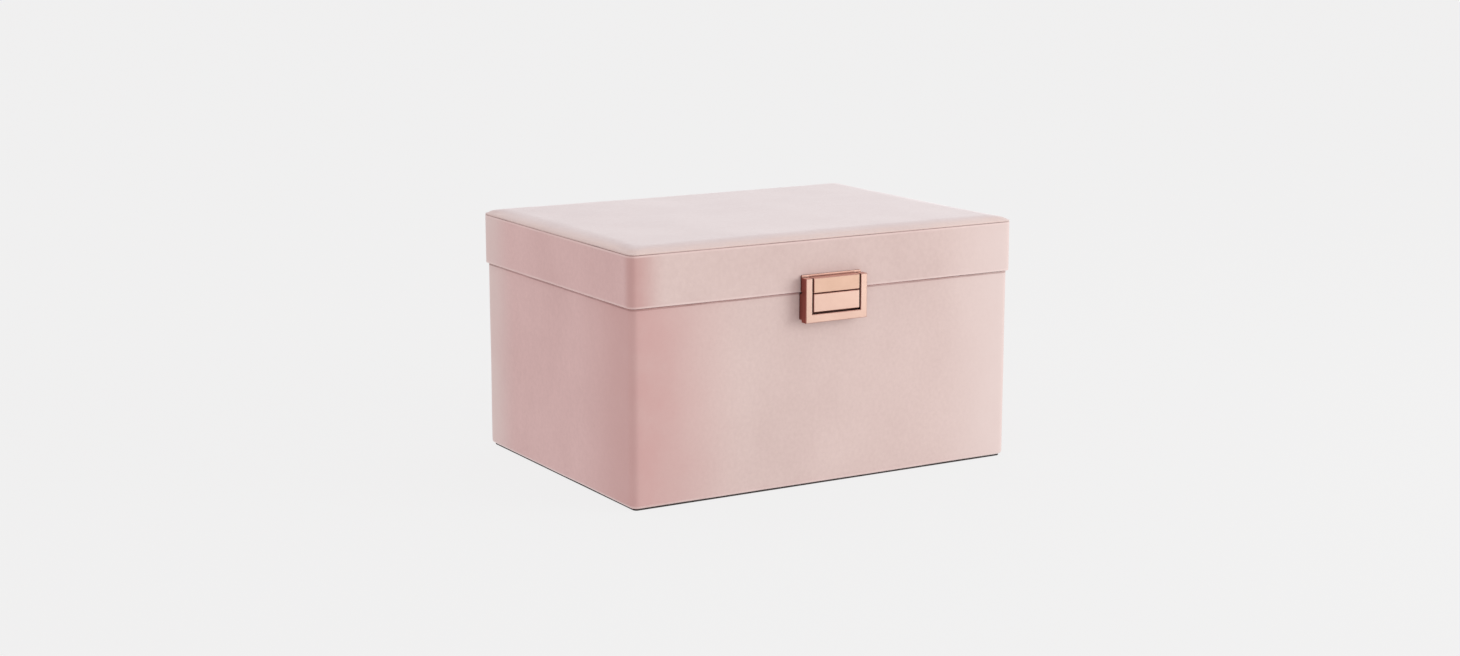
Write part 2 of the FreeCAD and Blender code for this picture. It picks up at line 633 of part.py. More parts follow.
def lower_room():
    lining("", "lining", "room", "lined", between("base_top", "lining_top"))
    lining("", "tray_rest", "lined", "rest", between("base_top", "rest_top"))
    pad = slab("pad", across("rest_x"), across("rest_y"), between("base_top", "floor_top"))
    node("floor_pad", pad)
    z = (plan("floor_top"), f"{plan('floor_top')} + {size('divider_height')}")
    half, gap = f"{size('divider_thickness')} / 2", size("fit_gap")
    y = (f"{size('divider_place')} - {half}", f"{size('divider_place')} + {half}")
    node("long_divider", slab("long_card", both(f"{plan('rest_x')} - {gap}"), y, z))
    y = (f"-{plan('rest_y')} + {gap}", f"{size('divider_place')} - {half} - {gap}")
    node("cross_divider", slab("cross_card", both(half), y, z))


# The tray


def ring_rolls():
    """Foam rolls that run side to side, each with a round back."""
    rolls = []
    radius = f"({size('roll_pitch')} - {size('roll_gap')}) / 2"
    x = both(f"{plan('tray_room_x')} - {size('roll_gap')}")
    height = f"({plan('tray_floor')} + {size('roll_height')} - ({radius}))"
    for n in range(round(number("roll_count"))):
        middle = f"({size('roll_pitch')} * {n + 0.5} + {size('roll_gap')} / 2 - {plan('tray_room_y')})"
        y = (f"{middle} - {radius}", f"{middle} + {radius}")
        foot = slab(f"roll_foot_{n}", x, y, (plan("tray_floor"), height))
        back = rod(f"roll_back_{n}", radius, f"({x[1]}) - ({x[0]})", x[0], middle, height, ALONG_X)
        rolls.append(fuse(f"roll_{n}", [foot, back]))
    node("ring_rolls", group("rolls", rolls))


def pull_ribbons():
    """A folded loop of ribbon on each end wall of the tray, to lift it by."""
    loops = []
    for side, sign in (("left", "-1"), ("right", "1")):
        x = f"{sign} * ({plan('tray_room_x')} - {size('ribbon_loop')} / 2 - {size('fit_gap')})"
        y = f"{plan('cell_front')} + {size('ribbon_set')} + {size('ribbon_width')}"
        loop = body(f"ribbon_{side}", x, y, plan("tray_floor"))
        inside = size("ribbon_thickness")
        bulge = f"{size('ribbon_loop')} / 2"
        flat = f"{size('ribbon_flat')} / 2"
        width, height = both(bulge), ("0", size("ribbon_height"))
        add_block(loop, width, height, ("0", size("ribbon_width")), FACING_FRONT, f"({bulge} - {flat})")
        width = both(f"{bulge} - {inside}")
        height = (inside, f"{size('ribbon_height')} - {inside}")
        round_inside = f"({bulge} - {inside} - {flat})"
        cut_block(loop, width, height, ("0", size("ribbon_width")), FACING_FRONT, round_inside)
        loops.append(loop)
    node("pull_ribbons", group("ribbons", loops))


def tray():
    x, y = across("tray_x"), across("tray_y")
    node("tray_base", slab("tray_card", x, y, between("tray_bottom", "tray_floor")))
    z = between("tray_floor", "tray_top")
    out_x, out_y, in_x, in_y = (plan(name) for name in ("tray_x", "tray_y", "tray_room_x", "tray_room_y"))
    node("tray_front_wall", slab("tray_front", both(out_x), (f"-{out_y}", f"-{in_y}"), z))
    node("tray_back_wall", slab("tray_back", both(out_x), (in_y, out_y), z))
    node("tray_left_wall", slab("tray_left", (f"-{out_x}", f"-{in_x}"), both(in_y), z))
    node("tray_right_wall", slab("tray_right", (in_x, out_x), both(in_y), z))
    z = (plan("tray_floor"), f"{plan('tray_top')} - {size('tray_divider_drop')}")
    node("ring_divider", slab("bed_card", both(in_x), between("bed_back", "cell_front"), z))
    cards = []
    for n in range(1, round(number("cell_count"))):
        left = f"{n} * ({plan('cell_width')} + {size('tray_divider')}) - {size('tray_divider')} - {in_x}"
        x = (left, f"{left} + {size('tray_divider')}")
        cards.append(slab(f"cell_card_{n}", x, (plan("cell_front"), in_y), z))
    node("tray_cell_dividers", group("cell_cards", cards))
    ring_rolls()
    pull_ribbons()


# Screws, all pointing to the front


def machine_screw(name, grow, x, z, head_y, tip_y):
    """A cheese-head screw: head_y is the seat of its head, and tip_y its end."""
    bigger = f" + {grow}"
    length = f"{head_y} - ({tip_y})"
    shank = rod(f"{name}_shank", size("machine_screw_radius") + bigger, length, x, head_y, z)
    height = size("machine_head_height") if grow == "0" else size("head_recess")
    head_top = f"{head_y} + {height}"
    head = rod(f"{name}_head", size("machine_head_radius") + bigger, height, x, head_top, z)
    return fuse(name, [shank, head]), head_top, size("machine_head_radius")


def wood_screw(name, grow, x, z, head_y, tip_y):
    """A countersunk screw: head_y is the face that its head lies flush with."""
    bigger = f" + {grow}"
    shank = rod(f"{name}_shank", size("wood_screw_radius") + bigger, f"{head_y} - ({tip_y})", x, head_y, z)
    head = doc.addObject("Part::Cone", f"{name}_head")
    head.setExpression("Radius1", size("wood_head_radius") + bigger)
    head.setExpression("Radius2", size("wood_screw_radius") + bigger)
    head.setExpression("Height", size("wood_head_height"))
    place(head, x, head_y, z, ALONG_MINUS_Y)
    return fuse(name, [shank, head]), head_y, size("wood_head_radius")


def screws(label, kind, places, head_y, tip_y):
    """The screws of one node, and the drills that make room for them."""
    made, drills = [], []
    for n, (x, z) in enumerate(places):
        screw, top, radius = kind(f"{label}_{n}", "0", x, z, head_y, tip_y)
        slot = slab(
            f"{label}_{n}_slot",
            (f"{x} - {radius}", f"{x} + {radius}"),
            (f"{top} - {size('slot_depth')}", f"{top} + {size('overrun')}"),
            (f"{z} - {size('slot_width')} / 2", f"{z} + {size('slot_width')} / 2"),
        )
        made.append(cut(f"{label}_{n}_slotted", screw, slot))
        hole_end = f"{tip_y} - {size('drill_play')}"
        drills.append(kind(f"{label}_{n}_drill", size("drill_play"), x, z, head_y, hole_end)[0])
    node(label, group(f"{label}_set", made))
    return fuse(f"{label}_drills", drills)


def clasp_screws(label, which, wall_inside):
    """Two screws from inside a front wall, into a half of the clasp."""
    offset = size(which + "_offset")
    z = f"({plan('seam')} + {plan(which + '_s')})"
    head_y = f"(-{plan(wall_inside)} - {size('head_recess')})"
    tip_y = f"(-{plan('half_depth')} - {plan('screw_v')})"
    return screws(label, machine_screw, [(f"-{offset}", z), (offset, z)], head_y, tip_y)


def leaf_screws(label, sign):
    """The four screws of two hinge leaves, above or below the pin."""
    z = f"({plan('seam')} {sign} {size('wood_screw_place')})"
    head_y = f"({plan('axis_y')} + {plan('leaf_out')})"
    tip_y = f"({plan('lid_room_y')} + {size('wood_tip_cover')})"
    places = []
    for hinge in ("-", ""):
        for side in ("-", "+"):
            places.append((f"({hinge}{size('hinge_offset')} {side} {size('wood_screw_pitch')} / 2)", z))
    return screws(label, wood_screw, places, head_y, tip_y)


# The clasp. Its pieces are drawn at the seam on the body's front face, and the sketches' normal runs out


def clasp_body(name):
    return body(name, "0", f"-{plan('half_depth')}", plan("seam"))


def break_edges(owner):
    """Breaks the edges of the clasp's front face."""
    front = -number("face_v")
    dress(owner, "Chamfer", size("clasp_edge"), lambda e: lies_at(e, 1, front))


def clasp_plate(name, s, v, drill):
    """A thin backing plate with small rounded corners."""
    plate = clasp_body(f"{name}_blank")
    add_block(plate, across("plate_x"), s, v, FACING_FRONT, radius=size("plate_corner"))
    node(name, cut(name, plate, drill))


def strike(drill):
    """The lid's half: a hollow block whose catch the button's tooth hooks over."""
    gap = f"{size('seam_gap')} / 2"
    s = (gap, f"{plan('strike_s')} + {size('plate_rise')}")
    clasp_plate("strike_plate", s, (size("lid_overhang"), plan("plate_v")), drill)
    block = clasp_body("strike_blank")
    low = f"{size('clasp_split')} / 2"
    v = between("plate_v", "face_v")
    add_block(block, across("insert_x"), (low, plan("strike_s")), v, FACING_FRONT)
    pocket = both(f"{size('tongue_width')} / 2 + {size('pocket_side')}")
    cut_block(block, pocket, (low, plan("pocket_s")), between("plate_v", "catch_v"), FACING_FRONT)
    cut_block(block, pocket, between("catch_s", "pocket_s"), between("catch_v", "pocket_v"), FACING_FRONT)
    break_edges(block)
    node("strike_block", cut("strike_block", block, drill))


def clasp_frame(drill):
    """The body's half: an open-topped frame on a plinth. Its arms reach up past the strike."""
    gap = f"-{size('seam_gap')} / 2"
    foot = f"{size('plinth_inset')} - {size('clasp_drop')}"
    clasp_plate("clasp_plate", (foot, gap), ("0", plan("plate_v")), drill)
    frame = clasp_body("frame_blank")
    s = (f"-{size('clasp_drop')}", size("clasp_rise"))
    add_block(frame, across("clasp_x"), s, between("arm_v", "face_v"), FACING_FRONT)
    plinth = both(f"{plan('clasp_x')} - {size('plinth_inset')}")
    add_block(frame, plinth, (foot, f"-{size('plinth_drop')}"), between("plate_v", "arm_v"), FACING_FRONT)
    v = between("plate_v", "face_v")
    cut_block(frame, across("mouth_x"), (plan("bar_s"), size("clasp_rise")), v, FACING_FRONT)
    groove = both(f"{plan('flange_x')} + {size('flange_play')}")
    lip = f"{plan('flange_v')} + {size('slide_play')}"
    cut_block(frame, groove, (plan("bar_s"), gap), (plan("plate_v"), lip), FACING_FRONT)
    break_edges(frame)
    node("clasp_frame", cut("clasp_frame", frame, drill))


def clasp_button():
    """The button, with a flange that keeps it in the frame and a tongue that rises behind the strike."""
    button = clasp_body("clasp_button")
    top = f"-{size('clasp_split')} / 2"
    s = (plan("button_s"), top)
    add_block(button, across("insert_x"), s, between("button_v", "face_v"), FACING_FRONT)
    break_edges(button)
    add_block(button, across("flange_x"), s, between("button_v", "flange_v"), FACING_FRONT)
    tongue = both(f"{size('tongue_width')} / 2")
    root = f"{top} - {size('tongue_root')}"
    add_block(button, tongue, (root, plan("tongue_s")), between("button_v", "tongue_v"), FACING_FRONT)
    add_block(button, tongue, between("tooth_s", "tongue_s"), between("tongue_v", "tooth_v"), FACING_FRONT)
    tip_v, tip_s = -number("tooth_v"), number("tongue_s")
    slope = f"{size('tooth_reach')} - {size('latch_play')}"
    dress(button, "Chamfer", slope, lambda e: lies_at(e, 1, tip_v) and lies_at(e, 2, tip_s))
    for x in (f"-{size('spring_offset')}", size("spring_offset")):
        depth = (plan("button_v"), f"{plan('face_v')} - {size('button_skin')}")
        cut_round(button, FACING_FRONT, (x, plan("spring_s")), size("spring_pocket"), depth)
    node("clasp_button", button)


def clasp_springs():
    """Two coil springs between the plate and the button."""
    springs = []
    pocket = f"{plan('face_v')} - {size('button_skin')} - {plan('plate_v')}"
    room = f"({pocket} - {size('spring_wire')} - 2 * {size('slide_play')})"
    for side in ("-", ""):
        coil = doc.addObject("Part::Helix", "coil")
        coil.setExpression("Radius", size("spring_radius"))
        coil.setExpression("Height", room)
        coil.setExpression("Pitch", f"{room} / {size('spring_turns')}")
        wire = doc.addObject("Part::Circle", "wire")
        wire.setExpression("Radius", f"{size('spring_wire')} / 2")
        place(wire, size("spring_radius"), "0", "0", ALONG_MINUS_Y)
        spring = doc.addObject("Part::Sweep", "spring")
        doc.recompute()
        spring.Sections = [wire]
        spring.Spine = (coil, [f"Edge{n + 1}" for n in range(len(coil.Shape.Edges))])
        spring.Solid = True
        spring.Frenet = True
        y = f"-{plan('half_depth')} - {plan('plate_v')} - {size('spring_wire')} / 2 - {size('slide_play')}"
        z = f"{plan('seam')} + {plan('spring_s')}"
        springs.append(place(spring, f"{side}{size('spring_offset')}", y, z, ALONG_MINUS_Y))
    node("clasp_springs", group("springs", springs))


# The hinges. Each is drawn about its pin's axis, which lies along X.


def round_corners(leaf, level, radius):
    """Rounds a leaf's two far corners."""
    edge_at = number("hinge_length") / 2

    def far_corner(e):
        at_end = abs(abs(e.BoundBox.Center.x) - edge_at) < CLOSE
        return at_end and lies_at(e, 2, level) and runs_along(e, 1)

    dress(leaf, "Fillet", radius, far_corner)


def hinge_leaf(name, x, z, inside, knuckles, notches, stop, drill):
    """A leaf: a plate, its knuckles bored for the pin, and notches for the other leaf's knuckles."""
    leaf = body(f"{name}_blank", x, plan("axis_y"), plan("seam"))
    length = both(f"{size('hinge_length')} / 2")
    add_block(leaf, length, (inside, plan("leaf_out")), z)
    far = number("leaf_height") if stop else -number("leaf_height")
    round_corners(leaf, far, size("leaf_corner"))
    near = (z[0], plan("knuckle_sweep")) if stop else (f"-{plan('knuckle_sweep')}", z[1])
    for span in notches:
        cut_block(leaf, span, (inside, plan("leaf_out")), near)
    for span in knuckles:
        add_round(leaf, "YZ_Plane", ("0", "0"), size("knuckle_radius"), span)
    if stop:
        middle = both(f"{plan('knuckle_length')} / 2")
        drop = f"-{plan('stop_drop')}"
        y = (f"{size('pin_radius')} + {size('stop_root')}", size("stop_reach"))
        add_block(leaf, middle, y, (drop, f"{drop} + {size('stop_thickness')}"))
    cut_round(leaf, "YZ_Plane", ("0", "0"), f"{size('pin_radius')} + {size('pin_play')}", length)
    node(name, cut(name, leaf, drill))


def hinges(body_drill, lid_drill):
    half, third = f"{size('hinge_length')} / 2", f"{plan('knuckle_length')} / 2"
    gap, overrun = size("knuckle_gap"), size("overrun")
    middle = both(third)
    ends = [(f"-({half})", f"-({third} + {gap})"), (f"{third} + {gap}", half)]
    beside = [(f"-({half} + {overrun})", f"-({third})"), (third, f"{half} + {overrun}")]
    between = [both(f"{third} + {gap}")]
    slack = size("seam_gap")
    for side, x in (("left", f"-{size('hinge_offset')}"), ("right", size("hinge_offset"))):
        up, down = (slack, size("leaf_height")), (f"-{size('leaf_height')}", f"-{slack}")
        hinge_leaf(f"lid_leaf_{side}", x, up, plan("lid_leaf_in"), [middle], beside, True, lid_drill)
        hinge_leaf(f"body_leaf_{side}", x, down, plan("body_leaf_in"), ends, between, False, body_drill)
        start = f"{x} - {half} - {size('pin_end')}"
        length = f"{size('hinge_length')} + 2 * {size('pin_end')}"
        pin = rod(f"pin_{side}", size("pin_radius"), length, start, plan("axis_y"), plan("seam"), ALONG_X)
        node(f"hinge_pin_{side}", pin)


def check():
    """Stops if any object failed, a cut took nothing away or a sub-part isn't whole."""
    for obj in doc.Objects:
        if {"Invalid", "Error"} & set(obj.State):
            raise RuntimeError(f"{obj.Name} ({obj.Label}) failed: {obj.State}")
        if obj.TypeId == "PartDesign::Pocket":
            if obj.BaseFeature.Shape.Volume - obj.Shape.Volume < LEAST_CUT:
                raise RuntimeError(f"{obj.Name} ({obj.Label}) cuts nothing")
    for label, obj in nodes.items():
        if obj.Shape.isNull() or not obj.Shape.isValid() or not obj.Shape.Solids:
            raise RuntimeError(f"{label} has no valid shape")


def export():
    os.makedirs("parts", exist_ok=True)
    for label, obj in nodes.items():
        obj.Shape.exportStep(f"parts/{label}.step")


sizes, layout = fill_sheets()
PLANES = {alias for alias, _ in LAYOUT}
clasp_drill = clasp_screws("clasp_screws", "clasp_screw", "room_y")
strike_drill = clasp_screws("strike_screws", "strike_screw", "lid_room_y")
body_hinge_drill = leaf_screws("body_leaf_screws", "-")
lid_hinge_drill = leaf_screws("lid_leaf_screws", "+")
body_carcass(clasp_drill, body_hinge_drill)
lid_carcass(strike_drill, lid_hinge_drill)
padded_panel()
lining("lid_", "lining", "lid_room", "lid_lined", between("lid_wall_bottom", "lid_board_bottom"))
mirror()
lower_room()
tray()
strike(strike_drill)
clasp_frame(clasp_drill)
clasp_button()
clasp_springs()
hinges(body_hinge_drill, lid_hinge_drill)
doc.recompute()
check()
export()
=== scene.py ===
import json
import math

import bpy
import numpy as np
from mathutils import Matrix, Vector, noise


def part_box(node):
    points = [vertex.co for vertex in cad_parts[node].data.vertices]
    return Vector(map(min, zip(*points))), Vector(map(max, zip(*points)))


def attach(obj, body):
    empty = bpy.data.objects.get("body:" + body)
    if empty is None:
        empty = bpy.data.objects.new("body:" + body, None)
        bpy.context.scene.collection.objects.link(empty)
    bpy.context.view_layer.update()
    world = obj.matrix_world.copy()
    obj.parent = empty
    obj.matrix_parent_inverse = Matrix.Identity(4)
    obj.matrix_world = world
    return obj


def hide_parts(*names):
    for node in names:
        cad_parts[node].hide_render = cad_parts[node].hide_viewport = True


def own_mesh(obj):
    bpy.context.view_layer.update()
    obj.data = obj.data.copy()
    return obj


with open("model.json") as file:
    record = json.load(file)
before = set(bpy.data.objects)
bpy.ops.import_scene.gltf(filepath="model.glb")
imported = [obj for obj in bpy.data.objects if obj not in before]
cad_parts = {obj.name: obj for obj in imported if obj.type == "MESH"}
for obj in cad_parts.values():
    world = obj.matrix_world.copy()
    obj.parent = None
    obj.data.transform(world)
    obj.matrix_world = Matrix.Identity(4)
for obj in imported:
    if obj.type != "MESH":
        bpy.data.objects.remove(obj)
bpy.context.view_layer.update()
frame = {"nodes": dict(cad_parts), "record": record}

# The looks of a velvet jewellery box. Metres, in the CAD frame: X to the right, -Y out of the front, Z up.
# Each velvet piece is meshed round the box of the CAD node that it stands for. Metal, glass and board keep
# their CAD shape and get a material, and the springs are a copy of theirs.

MM = 0.001

# Camera: the place that the photograph was taken from, and its lens
CAMERA_PLACE = (-0.7282, -1.2119, 0.3503)
CAMERA_AZIMUTH = -30.632
CAMERA_ELEVATION = 10.935
CAMERA_LENS = 57.47
CAMERA_CLIP = (0.01, 100)

# Light and floor: colours are linear
BACKDROP = (0.885, 0.89, 0.89)
AMBIENT = (0.90, 0.84, 0.84)
FLOOR_HALF = 9
FLOOR_ALBEDO = 0.07
FLOOR_GLOW = 0.81
KEY_POWER = 7.0
KEY_COLOUR = (0.92, 1.0, 0.98)
KEY_SIZE = 0.7
KEY_PLACE = (0.90, -0.90, 0.32)
KEY_AIM = (0.0, 0.0, 0.06)

# Roundings of the covering, and of the covered cards and the felt
CORNER_RADIUS = 4.5 * MM
BOTTOM_RADIUS = 2.2 * MM
BASE_FOLD_RADIUS = 0.6 * MM
RIM_RADIUS = 0.5 * MM
LID_EDGE_RADIUS = 0.6 * MM
INNER_RADIUS = 0.25 * MM
RING_CORNER = 0.5 * MM
CARD_EDGE = 0.9 * MM
TRAY_WALL_EDGE = 1.4 * MM
TRAY_CORNER = 1.2 * MM
CELL_DIVIDER_EDGE = 1.2 * MM
FELT_EDGE = 0.5 * MM
FELT_CORNER = 2.5 * MM

# The lid's pad: how far in from its edges it is drawn down, the share of its height that is left at them, how
# far it stands out past its CAD box, the rounding of its edge, and the height of its foot, which is held
PAD_DOME = 7 * MM
PAD_SIDE = 0.3
PAD_SWELL = 0.25 * MM
PAD_EDGE_RADIUS = 0.5 * MM
PAD_HELD = 0.9 * MM

# The cushion on the floor and the ring rolls: their roundings, how much of each is held, and the length of
# their faces
CUSHION_EDGE = 1.0 * MM
CUSHION_CORNER = 1.5 * MM
CUSHION_HELD = 0.5 * MM
CUSHION_STEP = 4 * MM
ROLL_EDGE = 2.5 * MM
ROLL_CORNER = 1.6 * MM
ROLL_END = 0.5 * MM
ROLL_STEP = 2.5 * MM

# Blowing up: pressures, how far a point may move, and the cloth
PAD_PRESSURE, PAD_CAP = 0.6, 0.4 * MM
ROLL_PRESSURE, ROLL_CAP = 1.5, 0.5 * MM
CLOTH_FRAMES = 20
CLOTH = {
    "quality": 6,
    "mass": 0.2,
    "tension_stiffness": 12,
    "compression_stiffness": 12,
    "shear_stiffness": 6,
    "bending_stiffness": 1.5,
}

# The frame over the mirror: how far its lip covers the glass, its roundings, and the room it leaves the glass
MIRROR_LIP = 2.5 * MM
MIRROR_LIP_OUTER, MIRROR_LIP_INNER, MIRROR_LIP_BACK = 0.7 * MM, 0.9 * MM, 0.3 * MM
MIRROR_ROOM_BELOW, MIRROR_ROOM_BESIDE = 0.1 * MM, 0.2 * MM

# Ribbons
RIBBON_THICKNESS = 0.8 * MM
RIBBON_STEP = 1.25 * MM
BEND_STEPS = 12
LEG_STEPS = 8

# How far along X and Y painted shade reaches from one pair of the velvet's upright corners, and painted light
# from the other pair, and their colours
BODY_CORNER_SHADE_REACH = (80 * MM, 72 * MM)
LID_CORNER_SHADE_REACH = (24 * MM, 10 * MM)
CORNER_LIGHT_REACH = (60 * MM, 42 * MM)
BODY_CORNER_SHADE = (0.575, 0.350, 0.335)
LID_CORNER_SHADE = (0.53, 0.305, 0.29)
CORNER_PAINTED_LIGHT = (0.69, 0.56, 0.535)

# Painted highlights where the velvet is folded and painted shade where it is creased: how far each reaches up
# and down, and its colour. The pad's foot gets a painted highlight too
FOLD_REACH = 1.1 * MM
FOLD_HIGHLIGHT = (0.78, 0.62, 0.59)
CREASE_SHADE = (0.22, 0.10, 0.09)
RIM_CREASE_REACH = 0.6 * MM
LID_CREASE_REACH = 0.4 * MM
PAD_CREASE_REACH = 0.5 * MM
PAD_FOOT_HEIGHT = 1.7 * MM
PAD_FOOT_REACH = 2.1 * MM
PAD_FOOT_HIGHLIGHT = (0.76, 0.61, 0.555)

# Velvet by the way it faces, with light and shade painted in: faces along Y are paler than faces along X, as
# if lit, the pad's top is paler still, and the pad's edge is a painted highlight. The lining is one colour
# all round.
# Then the sheen and the sheen's tint
SIDE_BLUSH = (0.695, 0.475, 0.460)
FRONT_BLUSH = (0.675, 0.530, 0.500)
TOP_BLUSH = (0.700, 0.615, 0.610)
PAD_EDGE = (0.690, 0.540, 0.505)
BLUSH_SHEEN = (0.9, (0.97, 0.98, 1.0))
LINING = (0.700, 0.545, 0.505)
LINING_SHEEN = (0.6, (1.0, 0.97, 0.96))

# Rose gold: the light and the dark tone of each plating with its roughness, the painted reflection of the
# velvet and painted shade that colour its sides and top, and how far painted shade reaches into a gap or
# beside a part
GOLD = (0.63, 0.425, 0.352), (0.593, 0.39, 0.323), 0.38
# The clasp's upper block: a darker copy of the plating for painted shade, and a little rougher
SHADED_GOLD = (0.575, 0.37, 0.285), (0.54, 0.345, 0.262), 0.42
FLANK_PAINTED_REFLECTION = (0.36, 0.11, 0.09)
TOP_PAINTED_REFLECTION = (0.60, 0.34, 0.29)
GAP_REACH = 2 * MM

# Meshes: the length of a face, the steps in a quarter turn, the smallest corner of an inner ring, and the
# most of a slab's half width that a rounding may take
MESH_STEP = 3 * MM
ARC_STEPS = 6
LEAST_CORNER = 0.3 * MM
MOST_ROUNDING = 0.98

# How far apart the waves of two seeds are, how far past a whole number of steps still counts as whole, and
# the least length to divide by
SEED_STEPS = (3.7, 1.3, 5.9)
ROUNDING_ERROR = 1e-6
TINY = 1e-12


# Meshes, and what shapes them


def make_object(name, points, faces):
    """A smooth-shaded mesh object."""
    mesh = bpy.data.meshes.new(name)
    mesh.from_pydata([tuple(p) for p in points], [], [tuple(f) for f in faces])
    mesh.validate()
    made = bpy.data.objects.new(name, mesh)
    bpy.context.scene.collection.objects.link(made)
    mesh.polygons.foreach_set("use_smooth", [True] * len(mesh.polygons))
    mesh.update()
    return made


def get_points(piece):
    points = np.empty(len(piece.data.vertices) * 3)
    piece.data.vertices.foreach_get("co", points)
    return points.reshape(-1, 3)


def set_points(piece, points):
    piece.data.vertices.foreach_set("co", np.asarray(points, np.float32).ravel())
    piece.data.update()


def get_normals(piece):
    normals = np.empty(len(piece.data.vertices) * 3)
    piece.data.vertex_normals.foreach_get("vector", normals)
    return normals.reshape(-1, 3)


def stops(low, high, step, radius=0.0):
    """Places from low to high, a step apart at most, with close ones inside the rounded ends."""
    if radius:
        near = [radius * (1 - math.tan(math.pi / 4 * (1 - n / ARC_STEPS))) for n in range(ARC_STEPS)]
        between = stops(low + radius, high - radius, step)
        return [low + d for d in near] + between + [high - d for d in near[::-1]]
    count = max(1, math.ceil((high - low) / step - ROUNDING_ERROR))
    return [low + (high - low) * n / count for n in range(count + 1)]


def rounded_ring(half_x, half_y, radius, counts):
    """Points round a rectangle with round corners, anticlockwise from above.

    counts are the steps along X and Y.
    """
    radius = max(radius, LEAST_CORNER)
    inner_x, inner_y = half_x - radius, half_y - radius
    ring = []
    corners = [(inner_x, -inner_y), (inner_x, inner_y), (-inner_x, inner_y), (-inner_x, -inner_y)]
    for turn, (x, y) in enumerate(corners):
        start = (turn - 1) * math.pi / 2
        for n in range(ARC_STEPS + 1):
            angle = start + math.pi / 2 * n / ARC_STEPS
            ring.append((x + radius * math.cos(angle), y + radius * math.sin(angle)))
        ahead = corners[(turn + 1) % 4]
        count = counts[(turn + 1) % 2]
        first = ring[-1]
        along = (ahead[0] - x, ahead[1] - y)
        for n in range(1, count):
            ring.append((first[0] + along[0] * n / count, first[1] + along[1] * n / count))
    return ring


def outline(corners, step=MESH_STEP):
    """A closed profile through corners (inset, height, radius), with arcs there and steps between them."""
    points = []
    for n, (inset, height, radius) in enumerate(corners):
        here = Vector((inset, height))
        before, after = (Vector(corners[(n + d) % len(corners)][:2]) for d in (-1, 1))
        back, ahead = (before - here).normalized(), (after - here).normalized()
        if radius:
            half_turn = back.angle(ahead) / 2
            middle = here + (back + ahead).normalized() * radius / math.sin(half_turn)
            start = here + back * radius / math.tan(half_turn) - middle
            end = here + ahead * radius / math.tan(half_turn) - middle
            arc = [middle + start.slerp(end, k / ARC_STEPS) * radius for k in range(ARC_STEPS + 1)]
        else:
            arc = [here]
        if points:
            run = arc[0] - points[-1]
            count = max(1, math.ceil(run.length / step))
            points += [points[-1] + run * k / count for k in range(1, count)]
        points += arc
    run = points[0] - points[-1]
    count = max(1, math.ceil(run.length / step))
    return points + [points[-1] + run * k / count for k in range(1, count)]


def sweep(name, profile, half_x, half_y, corner):
    """A closed skin: the profile (inset, height) carried round a rectangle with round corners."""
    counts = [max(2, round(2 * half / MESH_STEP)) for half in (half_x, half_y)]
    rings = [rounded_ring(half_x - d, half_y - d, corner - d, counts) for d, _ in profile]
    around, steps = len(rings[0]), len(profile)
    points = [(x, y, z) for ring, (_, z) in zip(rings, profile) for x, y in ring]
    faces = []
    for i in range(steps):
        here, above = i * around, (i + 1) % steps * around
        for j in range(around):
            k = (j + 1) % around
            faces.append((here + j, here + k, above + k, above + j))
    return make_object(name, points, faces)


def to_round(u, v):
    """Where a point of the unit square goes when the square becomes a quarter disc."""
    length = np.hypot(u, v)
    share = np.maximum(u, v) / np.maximum(length, TINY)
    return u * share, v * share


def box_grid(lines):
    """The points and faces of a grid on the six sides of a box. lines are its places along X, Y and Z."""
    index, points, faces = {}, [], []

    def grid_point(place):
        key = tuple(place)
        if key not in index:
            index[key] = len(points)
            points.append([lines[a][place[a]] for a in range(3)])
        return index[key]

    for axis in range(3):
        a, b = [n for n in range(3) if n != axis]
        for side in (0, len(lines[axis]) - 1):
            for m in range(len(lines[a]) - 1):
                for n in range(len(lines[b]) - 1):
                    quad = []
                    for dm, dn in ((0, 0), (1, 0), (1, 1), (0, 1)):
                        place = [side] * 3
                        place[a], place[b] = m + dm, n + dn
                        quad.append(grid_point(place))
                    outward = (side > 0) != (axis == 1)
                    faces.append(quad if outward else quad[::-1])
    return points, faces


def soft_slab(name, low, high, edge, corner=None, step=MESH_STEP):
    """A box as a grid on its six sides. corner rounds its upright corners, edge its upper and lower edges."""
    low, high = np.array(low), np.array(high)
    middle, half = (low + high) / 2, (high - low) / 2
    corner = min(edge if corner is None else corner, MOST_ROUNDING * half[0], MOST_ROUNDING * half[1])
    edge = min(edge, MOST_ROUNDING * half[2])
    points, faces = box_grid([stops(low[a], high[a], step, (corner, corner, edge)[a]) for a in range(3)])
    points = np.array(points) - middle
    sign = np.where(points < 0, -1.0, 1.0)
    away = np.abs(points)
    u, v = (np.maximum(away[:, a] - (half[a] - corner), 0) / corner for a in (0, 1))
    round_u, round_v = to_round(u, v)
    both = (u > 0) & (v > 0)
    away[both, 0] = half[0] - corner + round_u[both] * corner
    away[both, 1] = half[1] - corner + round_v[both] * corner
    from_side = np.where(both, corner * (1 - np.hypot(round_u, round_v)), (half[:2] - away[:, :2]).min(1))
    u, v = np.maximum(1 - from_side / edge, 0), np.maximum(1 - (half[2] - away[:, 2]) / edge, 0)
    round_u, round_v = to_round(u, v)
    bent = (u > 0) & (v > 0)
    inward = np.where(bent, (u - round_u) * edge, 0)
    away[:, 2] -= np.where(bent, (v - round_v) * edge, 0)
    centre = np.minimum(away[:, :2], half[:2] - corner)
    out = np.where(both[:, None], away[:, :2] - centre, 0)
    nearer_x = half[0] - away[:, 0] < half[1] - away[:, 1]
    out[~both, 0] = nearer_x[~both]
    out[~both, 1] = ~nearer_x[~both]
    out /= np.maximum(np.linalg.norm(out, axis=1, keepdims=True), TINY)
    away[:, :2] -= out * inward[:, None]
    return make_object(name, middle + sign * away, faces)


